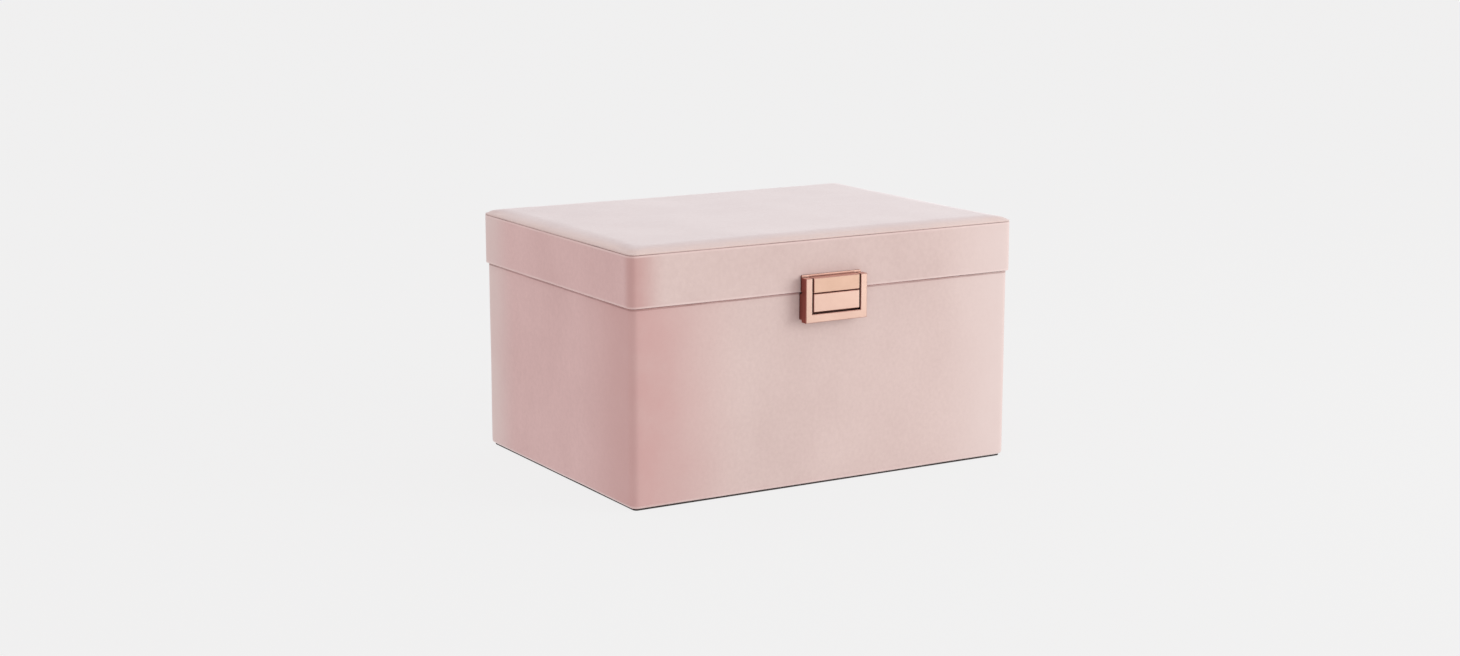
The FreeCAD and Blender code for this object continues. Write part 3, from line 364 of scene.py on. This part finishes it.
def uneven(piece, height, size, seed):
    """Small waves that keep a covered board from looking machined."""
    points, normals = get_points(piece), get_normals(piece)
    shift = Vector([seed * step for step in SEED_STEPS])
    waves = [noise.noise(Vector(p) / size + shift) for p in points]
    set_points(piece, points + normals * np.array(waves)[:, None] * height)
    return piece


def plump(piece, axis, height):
    """Swells the two large sides of a covered card, most in their middle."""
    points = get_points(piece)
    low, high = points.min(0), points.max(0)
    share = (points - low) / (high - low)
    crown = np.ones(len(points))
    for other in {0, 1, 2} - {axis}:
        crown *= 1 - (2 * share[:, other] - 1) ** 4
    points[:, axis] += (2 * share[:, axis] - 1) * crown * height
    set_points(piece, points)
    return piece


def simulate(piece, held, pressure, cap):
    """Blows a pad up with Cloth. held picks the points that stay, and cap is how far any point may move."""
    start = get_points(piece)
    pinned = piece.vertex_groups.new(name="held")
    pinned.add([int(n) for n in np.nonzero(held)[0]], 1, "REPLACE")
    cloth = piece.modifiers.new("cloth", "CLOTH")
    settings = cloth.settings
    for key, value in CLOTH.items():
        setattr(settings, key, value)
    settings.vertex_group_mass = "held"
    settings.use_pressure = True
    settings.uniform_pressure_force = pressure
    settings.effector_weights.gravity = 0
    cloth.point_cache.frame_end = CLOTH_FRAMES
    scene = bpy.context.scene
    for frame_number in range(1, CLOTH_FRAMES + 1):
        scene.frame_set(frame_number)
    moved = piece.evaluated_get(bpy.context.evaluated_depsgraph_get()).data
    end = np.empty(len(moved.vertices) * 3)
    moved.vertices.foreach_get("co", end)
    piece.modifiers.remove(cloth)
    piece.vertex_groups.remove(pinned)
    scene.frame_set(1)
    step = end.reshape(-1, 3) - start
    length = np.linalg.norm(step, axis=1, keepdims=True)
    set_points(piece, start + step * np.minimum(1, cap / np.maximum(length, TINY)))
    return piece


# Materials


class Shader:
    """A Principled material with short calls for the nodes that it uses."""

    def __init__(self, name, **values):
        self.material = bpy.data.materials.new(name)
        self.material.use_nodes = True
        self.nodes = self.material.node_tree.nodes
        self.links = self.material.node_tree.links
        self.shader = self.nodes["Principled BSDF"]
        for key, value in values.items():
            self.shader.inputs[key.replace("_", " ")].default_value = value
        self.place = self.nodes.new("ShaderNodeTexCoord").outputs["Object"]

    def node(self, kind, inputs=None, **settings):
        made = self.nodes.new(f"ShaderNode{kind}")
        for key, value in settings.items():
            setattr(made, key, value)
        for key, value in (inputs or {}).items():
            if isinstance(value, bpy.types.NodeSocket):
                self.links.new(value, made.inputs[key])
            else:
                made.inputs[key].default_value = value
        return made

    def stretched(self, scale):
        """The place, stretched, so that a noise runs longer one way."""
        return self.node("Mapping", {"Vector": self.place, "Scale": scale}).outputs["Vector"]

    def noise(self, scale, detail=2.0, roughness=0.5, place=None):
        inputs = {"Vector": place or self.place, "Scale": scale, "Detail": detail, "Roughness": roughness}
        return self.node("TexNoise", inputs).outputs["Fac"]

    def ramp(self, factor, *colours):
        """A colour ramp through (position, colour) stops."""
        made = self.node("ValToRGB", {"Fac": factor})
        elements = made.color_ramp.elements
        for element, (position, colour) in zip(elements, (colours[0], colours[-1])):
            element.position = position
            element.color = (*colour, 1)
        for position, colour in colours[1:-1]:
            elements.new(position).color = (*colour, 1)
        return made.outputs["Color"]

    def mix(self, factor, first, second, blend="MIX"):
        """Two colours mixed. A Mix node's inputs 6 and 7 and its output 2 are the ones for colours."""
        made = self.node("Mix", data_type="RGBA", blend_type=blend)
        for socket, value in zip((made.inputs[0], made.inputs[6], made.inputs[7]), (factor, first, second)):
            if isinstance(value, bpy.types.NodeSocket):
                self.links.new(value, socket)
            else:
                socket.default_value = value
        return made.outputs[2]

    def bump(self, height, strength, distance, under=None):
        inputs = {"Height": height, "Strength": strength, "Distance": distance}
        if under is not None:
            inputs["Normal"] = under
        return self.node("Bump", inputs).outputs["Normal"]

    def facing(self, colour, **shades):
        """The colour, mixed with another where the surface faces along X, Y or Z."""
        normal = self.node("TexCoord").outputs["Normal"]
        outward = self.node("SeparateXYZ", {"Vector": normal}).outputs
        for axis, shade in shades.items():
            amount = self.node("Math", {0: outward[axis]}, operation="ABSOLUTE").outputs[0]
            colour = self.mix(amount, colour, (*shade, 1))
        return colour

    def spread(self, factor, low, high):
        """A 0 to 1 factor brought between low and high."""
        return self.node("MapRange", {"Value": factor, "To Min": low, "To Max": high}).outputs["Result"]

    def nearness(self, distance, reach):
        """1 where the distance is nothing, falling to 0 at reach."""
        inputs = {"Value": distance, "From Max": reach, "To Min": 1.0, "To Max": 0.0}
        return self.node("MapRange", inputs, interpolation_type="SMOOTHSTEP").outputs["Result"]

    def corner_light_and_shade(self, corners, dark_reach, dark_shade):
        """How near a point is to the pair of upright corners with painted shade and to the pair with painted
        light, each with its colour.
        """
        flat = self.node("VectorMath", {0: self.place, 1: (1, 1, 0)}, operation="MULTIPLY").outputs[0]
        away = self.node("VectorMath", {0: flat}, operation="ABSOLUTE").outputs[0]
        away = self.node("VectorMath", {0: away, 1: (*corners, 0)}, operation="SUBTRACT").outputs[0]
        axes = self.node("SeparateXYZ", {"Vector": self.place}).outputs
        product = self.node("Math", {0: axes["X"], 1: axes["Y"]}, operation="MULTIPLY").outputs[0]
        dark = self.node("Math", {0: product, 1: 0.0}, operation="GREATER_THAN").outputs[0]
        light = self.node("Math", {0: product, 1: 0.0}, operation="LESS_THAN").outputs[0]
        for pair, reach, shade in ((dark, dark_reach, dark_shade), (light, CORNER_LIGHT_REACH, CORNER_PAINTED_LIGHT)):
            share = self.node("VectorMath", {0: away, 1: (*reach, 1)}, operation="DIVIDE").outputs[0]
            share = self.node("VectorMath", {0: share}, operation="LENGTH").outputs["Value"]
            near = {0: self.nearness(share, 1.0), 1: pair}
            yield self.node("Math", near, operation="MULTIPLY").outputs[0], shade

    def out(self, **sockets):
        for key, value in sockets.items():
            self.links.new(value, self.shader.inputs[key.replace("_", " ")])
        return self.material


def velvet(name, faces, sheen, corners=None, folds=()):
    """Short pile: patches where the nap lies another way, finer flecks, and the pile itself as a bump.

    faces are the colours of what faces along X, Y and Z, which paint light and shade in, and sheen is its
    weight and tint. corners is the box's half width and depth, and how far along X and Y and how dark the
    painted shade is near
    one pair of its upright corners: near the other pair painted light makes it paler. folds are (height,
    reach, shade) of painted highlights along folded edges and of painted shade in creases.
    """
    side, front, up = faces
    weight, tint = sheen
    made = Shader(
        name,
        Roughness=0.9,
        Specular_IOR_Level=0.12,
        Sheen_Weight=weight,
        Sheen_Roughness=0.3,
        Sheen_Tint=(*tint, 1),
    )
    # painted light and shade: each way that the surface faces gets its own colour, paler where it would be
    # lit
    colour = made.facing((*side, 1), Y=front, Z=up)
    patches = made.noise(17, detail=4, roughness=0.55, place=made.stretched((1, 1, 0.8)))
    flecks = made.noise(420, detail=3, roughness=0.6)
    shades = (patches, (0.92, 0.90, 0.90)), (flecks, (0.94, 0.93, 0.93))
    for pattern, shade in shades:
        colour = made.mix(1.0, colour, made.ramp(pattern, (0.3, shade), (0.7, (1.0, 1.0, 1.0))), "MULTIPLY")
    ragged = made.spread(made.noise(40, detail=3, roughness=0.6), low=0.6, high=1.2)
    # painted shade near one pair of upright corners and painted light near the other, broken up by a noise
    if corners:
        for near, shade in made.corner_light_and_shade(*corners):
            amount = made.node("Math", {0: near, 1: ragged}, operation="MULTIPLY").outputs[0]
            colour = made.mix(amount, colour, (*shade, 1))
    height = made.node("SeparateXYZ", {"Vector": made.place}).outputs["Z"]
    # painted highlights along folds and painted shade in creases, broken up by a noise
    fold_light_patchiness = made.spread(made.noise(60, detail=3, roughness=0.6), low=0.1, high=0.9)
    for fold, reach, shade in folds:
        away = made.node("Math", {0: height, 1: fold}, operation="SUBTRACT").outputs[0]
        away = made.node("Math", {0: away}, operation="ABSOLUTE").outputs[0]
        amount = made.node("Math", {0: made.nearness(away, reach), 1: fold_light_patchiness}, operation="MULTIPLY")
        colour = made.mix(amount.outputs[0], colour, (*shade, 1))
    waves = made.noise(90, detail=2, roughness=0.5, place=made.stretched((1, 1, 0.6)))
    threads = made.noise(2600, detail=2, roughness=0.7)
    nap = made.bump(waves, strength=0.14, distance=0.6 * MM)
    pile = made.bump(threads, strength=0.35, distance=0.12 * MM, under=nap)
    return made.out(Base_Color=colour, Normal=pile)


def rose_gold(name, light, dark, roughness):
    """Satin plating with a fine brushed grain along X, faint handling marks, a painted reflection of the
    velvet on its sides and top, and painted shade down in the gaps and beside other parts.
    """
    made = Shader(name, Metallic=1.0)
    grain = made.noise(900, detail=3, roughness=0.6, place=made.stretched((0.06, 1, 1)))
    cloud = made.noise(90, detail=3, roughness=0.6)
    colour = made.ramp(cloud, (0.3, dark), (0.7, light))
    # painted reflection of the velvet and painted shade: darker, redder colours where the surface faces along
    # X or up
    colour = made.facing(colour, X=FLANK_PAINTED_REFLECTION, Z=TOP_PAINTED_REFLECTION)
    # painted shade: darker where other surfaces are near, in the gaps and beside the velvet
    room = made.node("AmbientOcclusion", {"Distance": GAP_REACH}, samples=8).outputs["AO"]
    gap_shade = made.ramp(room, (0.35, (0.04, 0.02, 0.018)), (0.6, (0.42, 0.30, 0.30)), (0.85, (1.0, 1.0, 1.0)))
    colour = made.mix(1.0, colour, gap_shade, "MULTIPLY")
    spread = made.spread(grain, low=roughness - 0.05, high=roughness + 0.07)
    scratches = made.bump(grain, strength=0.05, distance=0.05 * MM)
    return made.out(Base_Color=colour, Roughness=spread, Normal=scratches)


def steel(name):
    made = Shader(name, Metallic=1.0)
    grain = made.noise(700, detail=3)
    colour = made.ramp(grain, (0.3, (0.46, 0.45, 0.43)), (0.7, (0.60, 0.59, 0.57)))
    return made.out(Base_Color=colour, Roughness=made.spread(grain, low=0.25, high=0.4))


def mirror_glass(name):
    """Silvering that is a little uneven, as cheap mirrors are."""
    made = Shader(name, Metallic=1.0, Roughness=0.02)
    colour = made.ramp(made.noise(30, detail=2), (0.2, (0.86, 0.88, 0.88)), (0.8, (0.90, 0.91, 0.91)))
    return made.out(Base_Color=colour)


def fibreboard(name):
    made = Shader(name, Roughness=0.8)
    fibres = made.noise(500, detail=4, roughness=0.7, place=made.stretched((1, 0.3, 1)))
    colour = made.ramp(fibres, (0.3, (0.30, 0.18, 0.09)), (0.7, (0.45, 0.29, 0.16)))
    return made.out(Base_Color=colour, Normal=made.bump(fibres, strength=0.3, distance=0.2 * MM))


def card(name):
    made = Shader(name, Roughness=0.85)
    fibres = made.noise(900, detail=4, roughness=0.7)
    colour = made.ramp(fibres, (0.3, (0.26, 0.23, 0.19)), (0.7, (0.36, 0.32, 0.27)))
    return made.out(Base_Color=colour, Normal=made.bump(fibres, strength=0.3, distance=0.1 * MM))


def foam(name):
    made = Shader(name, Roughness=0.95)
    cells = made.node("TexVoronoi", {"Vector": made.place, "Scale": 1400}).outputs["Distance"]
    colour = made.ramp(cells, (0.1, (0.62, 0.58, 0.48)), (0.6, (0.82, 0.79, 0.70)))
    return made.out(Base_Color=colour, Normal=made.bump(cells, strength=0.5, distance=0.3 * MM))


def felt(name):
    """Pressed fibres, dark taupe made nearly black, so that the felt also stands in for the shadow under the
    box's
    edge: partly its own colour, partly painted shade.
    """
    made = Shader(name, Roughness=0.95, Sheen_Weight=0.15, Sheen_Roughness=0.5)
    fibres = made.noise(1300, detail=5, roughness=0.75)
    patches = made.noise(60, detail=3)
    # the felt's own dark taupe, darkened to nearly black as painted shade
    base = made.ramp(patches, (0.3, (0.030, 0.021, 0.019)), (0.7, (0.045, 0.033, 0.030)))
    shade = made.ramp(fibres, (0.3, (0.75, 0.75, 0.75)), (0.7, (1.0, 1.0, 1.0)))
    colour = made.mix(1.0, base, shade, "MULTIPLY")
    return made.out(Base_Color=colour, Normal=made.bump(fibres, strength=0.6, distance=0.3 * MM))


def satin(name):
    """Ribbon: fine ribs across it and a soft shine."""
    made = Shader(name, Roughness=0.38, Sheen_Weight=0.2, Sheen_Roughness=0.3)
    ribs = made.node("TexWave", {"Vector": made.place, "Scale": 900, "Distortion": 0.4}).outputs["Fac"]
    colour = made.ramp(ribs, (0.2, (0.56, 0.29, 0.27)), (0.8, (0.64, 0.36, 0.33)))
    return made.out(Base_Color=colour, Normal=made.bump(ribs, strength=0.25, distance=0.08 * MM))


def floor_white(name):
    """A floor that is pale by its own glow, so that shadows and the light it sends back stay faint."""
    made = Shader(name, Roughness=0.9, Specular_IOR_Level=0.0, Emission_Strength=FLOOR_GLOW)
    tint = made.ramp(made.noise(3, detail=2), (0.3, [FLOOR_ALBEDO * 0.99] * 3), (0.7, [FLOOR_ALBEDO] * 3))
    made.shader.inputs["Emission Color"].default_value = (1, 1, 1, 1)
    return made.out(Base_Color=tint)


# Painted highlights along folds and painted shade in creases of the body's covering, the lid's and the pad:
# (height, reach, shade)
BODY_BOX, LID_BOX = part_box("body_wrap"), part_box("lid_wrap")
BODY_FOLDS = (
    (BODY_BOX[0].z + BOTTOM_RADIUS / 2, FOLD_REACH, FOLD_HIGHLIGHT),
    (BODY_BOX[1].z - RIM_CREASE_REACH, RIM_CREASE_REACH, CREASE_SHADE),
)
LID_FOLDS = (
    (LID_BOX[0].z + LID_EDGE_RADIUS, FOLD_REACH, FOLD_HIGHLIGHT),
    (LID_BOX[1].z - LID_EDGE_RADIUS, FOLD_REACH, FOLD_HIGHLIGHT),
    (LID_BOX[1].z, LID_CREASE_REACH, CREASE_SHADE),
)
PAD_FOLDS = (
    (LID_BOX[1].z + PAD_FOOT_HEIGHT, PAD_FOOT_REACH, PAD_FOOT_HIGHLIGHT),
    (LID_BOX[1].z, PAD_CREASE_REACH, CREASE_SHADE),
)

MATERIALS = {
    "blush_velvet": velvet(
        "blush_velvet",
        (SIDE_BLUSH, FRONT_BLUSH, SIDE_BLUSH),
        BLUSH_SHEEN,
        corners=(BODY_BOX[1].xy, BODY_CORNER_SHADE_REACH, BODY_CORNER_SHADE),
        folds=BODY_FOLDS,
    ),
    "blush_velvet_lid": velvet(
        "blush_velvet_lid",
        (SIDE_BLUSH, FRONT_BLUSH, SIDE_BLUSH),
        BLUSH_SHEEN,
        corners=(LID_BOX[1].xy, LID_CORNER_SHADE_REACH, LID_CORNER_SHADE),
        folds=LID_FOLDS,
    ),
    "blush_velvet_top": velvet(
        "blush_velvet_top", (PAD_EDGE, PAD_EDGE, TOP_BLUSH), BLUSH_SHEEN, folds=PAD_FOLDS
    ),
    "lining_velvet": velvet("lining_velvet", (LINING, LINING, LINING), LINING_SHEEN),
    "fibreboard": fibreboard("fibreboard"),
    "card": card("card"),
    "foam": foam("foam"),
    "base_felt": felt("base_felt"),
    "ribbon": satin("ribbon"),
    "mirror_glass": mirror_glass("mirror_glass"),
    "rose_gold": rose_gold("rose_gold", *GOLD),
    "rose_gold_shaded": rose_gold("rose_gold_shaded", *SHADED_GOLD),
    "screw_steel": steel("screw_steel"),
}


def finish_piece(piece, body, slot, *nodes, material=None):
    """Gives a piece the material of its slot or the named one, hides the nodes it stands for, and puts it on
    its body.
    """
    piece.data.materials.append(MATERIALS[material or slot])
    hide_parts(*nodes)
    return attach(piece, body)


# Sizes that pieces share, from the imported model

SIDES = ("front", "back", "left", "right")


def ring_nodes(prefix):
    return [prefix + side for side in SIDES]


def ring_box(prefix):
    """(outer half width, outer half depth, thickness, bottom, top) of four cards in a ring."""
    low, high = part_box(f"{prefix}front")
    return high.x, -low.y, high.y - low.y, low.z, high.z


# The body's covering


def body_covering():
    low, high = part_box("body_wrap")
    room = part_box("lining_front")[1].x
    wall_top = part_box("front_wall")[1].z
    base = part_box("base_board")
    inside = high.x - room
    turn = high.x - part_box("base_filler_card")[1].x
    core = high.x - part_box("right_wall")[1].x
    profile = outline(
        [
            (turn, low.z, 0),
            (0, low.z, BOTTOM_RADIUS),
            (0, high.z, RIM_RADIUS),
            (inside, high.z, INNER_RADIUS),
            (inside, wall_top, 0),
            (core, wall_top, 0),
            (core, base[0].z, BASE_FOLD_RADIUS),
            (turn, base[0].z, 0),
        ]
    )
    piece = sweep("body_velvet", profile, high.x, high.y, CORNER_RADIUS)
    uneven(piece, height=0.18 * MM, size=45 * MM, seed=1)
    return finish_piece(piece, "case", "blush_velvet", "body_wrap")


def lid_covering():
    low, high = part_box("lid_wrap")
    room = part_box("lid_top_board")[1].x
    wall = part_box("lid_right_wall")
    inside = high.x - room
    core = high.x - wall[1].x
    profile = outline(
        [
            (inside, low.z, INNER_RADIUS),
            (0, low.z, LID_EDGE_RADIUS),
            (0, high.z, LID_EDGE_RADIUS),
            (inside, high.z, 0),
            (inside, wall[1].z, 0),
            (core, wall[1].z, 0),
            (core, wall[0].z, 0),
            (inside, wall[0].z, 0),
        ]
    )
    piece = sweep("lid_velvet", profile, high.x, high.y, CORNER_RADIUS)
    uneven(piece, height=0.12 * MM, size=40 * MM, seed=2)
    return finish_piece(piece, "lid", "blush_velvet", "lid_wrap", material="blush_velvet_lid")


def padded_top():
    """The pillow on the lid: its foot is held all round, its edges are drawn down, and it is blown up."""
    low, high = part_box("pad_cover")
    swell = Vector((PAD_SWELL, PAD_SWELL, 0))
    low, high = low - swell, high + swell
    piece = soft_slab("lid_pad", low, high, PAD_EDGE_RADIUS, CORNER_RADIUS)
    points = get_points(piece)
    from_edges = np.array(high.xy) - np.abs(points[:, :2])
    share = np.minimum(np.linalg.norm(np.clip(1 - from_edges / PAD_DOME, 0, 1), axis=1), 1)
    points[:, 2] = low.z + (points[:, 2] - low.z) * (1 - (1 - PAD_SIDE) * share**2)
    set_points(piece, points)
    simulate(piece, points[:, 2] < low.z + PAD_HELD, PAD_PRESSURE, PAD_CAP)
    uneven(piece, height=0.12 * MM, size=35 * MM, seed=3)
    return finish_piece(piece, "lid", "blush_velvet", "pad_cover", "pad_foam", material="blush_velvet_top")


def base_sheet():
    low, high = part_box("base_felt")
    piece = soft_slab("felt_sheet", low, high, FELT_EDGE, FELT_CORNER, 2 * MESH_STEP)
    return finish_piece(piece, "case", "base_felt", "base_felt")


# Covered cards


def card_ring(name, prefix, body, radius, seed):
    """Four covered cards in a ring, as one skin whose seams fall in the corners."""
    half_x, half_y, thick, bottom, top = ring_box(prefix)
    profile = outline([(0, bottom, 0), (0, top, radius), (thick, top, radius), (thick, bottom, 0)])
    piece = sweep(name, profile, half_x, half_y, RING_CORNER)
    uneven(piece, height=0.15 * MM, size=30 * MM, seed=seed)
    return finish_piece(piece, body, "lining_velvet", *ring_nodes(prefix))


def covered_card(name, node, body, axis, seed):
    """A board in velvet that swells a little on its two large sides, which face along axis."""
    low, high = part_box(node)
    piece = soft_slab(name, low, high, CARD_EDGE)
    plump(piece, axis, height=0.2 * MM)
    uneven(piece, height=0.15 * MM, size=25 * MM, seed=seed)
    return finish_piece(piece, body, "lining_velvet", node)


def floor_cushion():
    low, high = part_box("floor_pad")
    piece = soft_slab("floor_cushion", low, high, CUSHION_EDGE, CUSHION_CORNER, CUSHION_STEP)
    simulate(piece, get_points(piece)[:, 2] < low.z + CUSHION_HELD, PAD_PRESSURE, PAD_CAP)
    uneven(piece, height=0.3 * MM, size=35 * MM, seed=11)
    return finish_piece(piece, "case", "lining_velvet", "floor_pad")


def mirror_surround():
    low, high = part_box("mirror_frame")
    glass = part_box("mirror")
    wide = high.x - glass[1].x
    lip, beside, below = wide + MIRROR_LIP, wide - MIRROR_ROOM_BESIDE, glass[0].z - MIRROR_ROOM_BELOW
    profile = outline(
        [
            (0, low.z, MIRROR_LIP_OUTER),
            (lip, low.z, MIRROR_LIP_INNER),
            (lip, below, MIRROR_LIP_BACK),
            (beside, below, 0),
            (beside, high.z, 0),
            (0, high.z, 0),
        ]
    )
    piece = sweep("mirror_surround", profile[::-1], high.x, high.y, RING_CORNER)
    uneven(piece, height=0.12 * MM, size=30 * MM, seed=12)
    return finish_piece(piece, "lid", "lining_velvet", "mirror_frame")


# The tray


def tray_walls():
    low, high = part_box("tray_front_wall")
    _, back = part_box("tray_back_wall")
    thick = high.y - low.y
    profile = outline(
        [(0, low.z, 0), (0, high.z, TRAY_WALL_EDGE), (thick, high.z, TRAY_WALL_EDGE), (thick, low.z, 0)]
    )
    piece = sweep("tray_walls", profile, high.x, back.y, TRAY_CORNER)
    uneven(piece, height=0.15 * MM, size=28 * MM, seed=13)
    names = [f"tray_{side}_wall" for side in SIDES]
    return finish_piece(piece, "tray", "lining_velvet", *names)


def separate_parts(node):
    """The boxes of a node's separate solids, from left to right or front to back."""
    mesh = frame["nodes"][node].data
    root = list(range(len(mesh.vertices)))

    def find(n):
        while root[n] != n:
            root[n] = root[root[n]]
            n = root[n]
        return n

    # points less than about a micron apart are one point
    where = {}
    for vertex in mesh.vertices:
        key = tuple(round(c, 6) for c in vertex.co)
        root[find(vertex.index)] = find(where.setdefault(key, vertex.index))
    for edge in mesh.edges:
        root[find(edge.vertices[0])] = find(edge.vertices[1])
    groups = {}
    for vertex in mesh.vertices:
        groups.setdefault(find(vertex.index), []).append(tuple(vertex.co))
    boxes = [(np.min(g, axis=0), np.max(g, axis=0)) for g in groups.values()]
    return sorted(boxes, key=lambda b: (round(b[0][0], 4), round(b[0][1], 4)))


def cell_dividers():
    for n, (low, high) in enumerate(separate_parts("tray_cell_dividers")):
        piece = soft_slab(f"cell_divider_{n + 1}", low, high, CELL_DIVIDER_EDGE)
        plump(piece, 0, height=0.15 * MM)
        uneven(piece, height=0.12 * MM, size=20 * MM, seed=20 + n)
        finish_piece(piece, "tray", "lining_velvet", "tray_cell_dividers")


def rounded_above(piece, low, high):
    """Turns the upper part of a long block into half a cylinder along X, and gives its lowest height."""
    points = get_points(piece)
    half = (high[1] - low[1]) / 2
    spring = high[2] - half
    middle = (low[1] + high[1]) / 2
    across, up = (points[:, 1] - middle) / half, np.maximum(points[:, 2] - spring, 0) / half
    above = points[:, 2] > spring
    side, rise = to_round(np.abs(across), up)
    points[:, 1] = np.where(above, middle + np.sign(across) * side * half, points[:, 1])
    points[:, 2] = np.where(above, spring + rise * half, points[:, 2])
    set_points(piece, points)
    return spring


def ring_rolls():
    """Foam rolls, round above and flat below. One is blown up, and the others take its shape."""
    shape = None
    for n, (low, high) in enumerate(separate_parts("ring_rolls")):
        piece = soft_slab(f"ring_roll_{n + 1}", low, high, ROLL_EDGE, ROLL_CORNER, ROLL_STEP)
        if shape is None:
            spring = rounded_above(piece, low, high)
            points = get_points(piece)
            ends = np.minimum(points[:, 0] - low[0], high[0] - points[:, 0]) < ROLL_END
            simulate(piece, ends | (points[:, 2] < spring), ROLL_PRESSURE, ROLL_CAP)
            shape = get_points(piece) - low
        set_points(piece, shape + low)
        uneven(piece, height=0.35 * MM, size=14 * MM, seed=30 + n)
        finish_piece(piece, "tray", "lining_velvet", "ring_rolls")


def loop_line(middle, bottom, top, radius):
    """Up one leg, over in half a circle and down the other leg, in X and Z."""
    rise = top - bottom
    turns = [math.pi * k / BEND_STEPS for k in range(BEND_STEPS + 1)]
    up = [(middle + radius, bottom + rise * k / LEG_STEPS) for k in range(LEG_STEPS)]
    over = [(middle + radius * math.cos(turn), top + radius * math.sin(turn)) for turn in turns]
    down = [(middle - radius, top - rise * (k + 1) / LEG_STEPS) for k in range(LEG_STEPS)]
    return up + over + down


def ribbon_faces(count, rows):
    """Faces between rows of count points round the strip's edge, and across its two side edges."""
    faces = []
    for r in range(rows - 1):
        for k in range(count):
            m = (k + 1) % count
            faces.append((r * count + k, (r + 1) * count + k, (r + 1) * count + m, r * count + m))
    for first, flip in ((0, True), ((rows - 1) * count, False)):
        for k in range(count // 2 - 1):
            quad = (first + k, first + count - 1 - k, first + count - 2 - k, first + k + 1)
            faces.append(quad[::-1] if flip else quad)
    return faces


def ribbons():
    """Two folded loops, each a strip that rises, turns over and comes down again."""
    for side, (low, high) in zip(("left", "right"), separate_parts("pull_ribbons")):
        middle = (low[0] + high[0]) / 2
        outer = (high[0] - low[0]) / 2
        top = high[2] - outer
        outside, inside = (
            loop_line(middle, low[2], top, radius) for radius in (outer, outer - RIBBON_THICKNESS)
        )
        section = outside + inside[::-1]
        rows = stops(low[1], high[1], RIBBON_STEP)
        points = [(x, y, z) for y in rows for x, z in section]
        piece = make_object(f"pull_ribbon_{side}", points, ribbon_faces(len(section), len(rows)))
        uneven(piece, height=-0.12 * MM, size=6 * MM, seed=40)
        finish_piece(piece, "tray", "ribbon", "pull_ribbons")


def press_springs():
    """The two coils behind the button, a copy of the CAD springs."""
    coils = bpy.data.objects.new("press_springs", frame["nodes"]["clasp_springs"].data.copy())
    bpy.context.scene.collection.objects.link(coils)
    coils.data.materials.clear()
    finish_piece(coils, "case", "screw_steel", "clasp_springs")
    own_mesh(coils)


def carried_over():
    """CAD nodes that keep their shape get the material of their slot. The clasp's upper block gets a darker
    and a
    little rougher copy of the plating: the darker colour is painted shade.
    """
    slots = {row["node"]: row["material_slot"] for row in frame["record"]["subparts"]}
    # painted shade: the upper block takes the darker copy of the plating
    slots["strike_block"] = "rose_gold_shaded"
    for name, node in frame["nodes"].items():
        node.data.materials.clear()
        node.data.materials.append(MATERIALS[slots[name]])


# Studio


def surroundings():
    """Soft light from all round. The backdrop behind the box is plain, a little cooler than that light."""
    world = bpy.data.worlds.new("studio")
    world.use_nodes = True
    nodes, links = world.node_tree.nodes, world.node_tree.links
    light = nodes["Background"]
    light.inputs["Color"].default_value = (*AMBIENT, 1)
    backdrop = nodes.new("ShaderNodeBackground")
    backdrop.inputs["Color"].default_value = (*BACKDROP, 1)
    chosen = nodes.new("ShaderNodeMixShader")
    links.new(nodes.new("ShaderNodeLightPath").outputs["Is Camera Ray"], chosen.inputs[0])
    links.new(light.outputs[0], chosen.inputs[1])
    links.new(backdrop.outputs[0], chosen.inputs[2])
    links.new(chosen.outputs[0], nodes["World Output"].inputs["Surface"])
    return world


def studio():
    scene = bpy.context.scene
    scene.view_settings.view_transform = "Standard"
    scene.world = surroundings()
    corners = [(x * FLOOR_HALF, y * FLOOR_HALF, 0) for x, y in ((-1, -1), (1, -1), (1, 1), (-1, 1))]
    floor = make_object("floor", corners, [(0, 1, 2, 3)])
    floor.data.materials.append(floor_white("floor_white"))
    key = bpy.data.lights.new("key", "AREA")
    key.energy = KEY_POWER
    key.color = KEY_COLOUR
    key.size = KEY_SIZE
    lamp = bpy.data.objects.new("key", key)
    lamp.location = KEY_PLACE
    lamp.rotation_euler = (Vector(KEY_AIM) - Vector(KEY_PLACE)).to_track_quat("-Z", "Y").to_euler()
    scene.collection.objects.link(lamp)


def camera():
    data = bpy.data.cameras.new("camera")
    data.lens = CAMERA_LENS
    data.clip_start, data.clip_end = CAMERA_CLIP
    made = bpy.data.objects.new("camera", data)
    a, e = math.radians(CAMERA_AZIMUTH), math.radians(CAMERA_ELEVATION)
    back = Vector((math.sin(a) * math.cos(e), -math.cos(a) * math.cos(e), math.sin(e)))
    made.location = CAMERA_PLACE
    made.rotation_euler = (-back).to_track_quat("-Z", "Y").to_euler()
    bpy.context.scene.collection.objects.link(made)
    bpy.context.scene.camera = made


carried_over()
studio()
camera()
body_covering()
lid_covering()
padded_top()
base_sheet()
card_ring("body_lining", "lining_", "case", radius=0.5 * MM, seed=4)
card_ring("tray_ledge", "tray_rest_", "case", radius=0.8 * MM, seed=5)
card_ring("lid_lining", "lid_lining_", "lid", radius=0.2 * MM, seed=6)
mirror_surround()
floor_cushion()
covered_card("long_divider_cover", "long_divider", "case", axis=1, seed=7)
covered_card("cross_divider_cover", "cross_divider", "case", axis=0, seed=8)
covered_card("tray_floor", "tray_base", "tray", axis=2, seed=9)
covered_card("roll_divider", "ring_divider", "tray", axis=1, seed=10)
tray_walls()
cell_dividers()
ring_rolls()
ribbons()
press_springs()

bpy.context.view_layer.update()
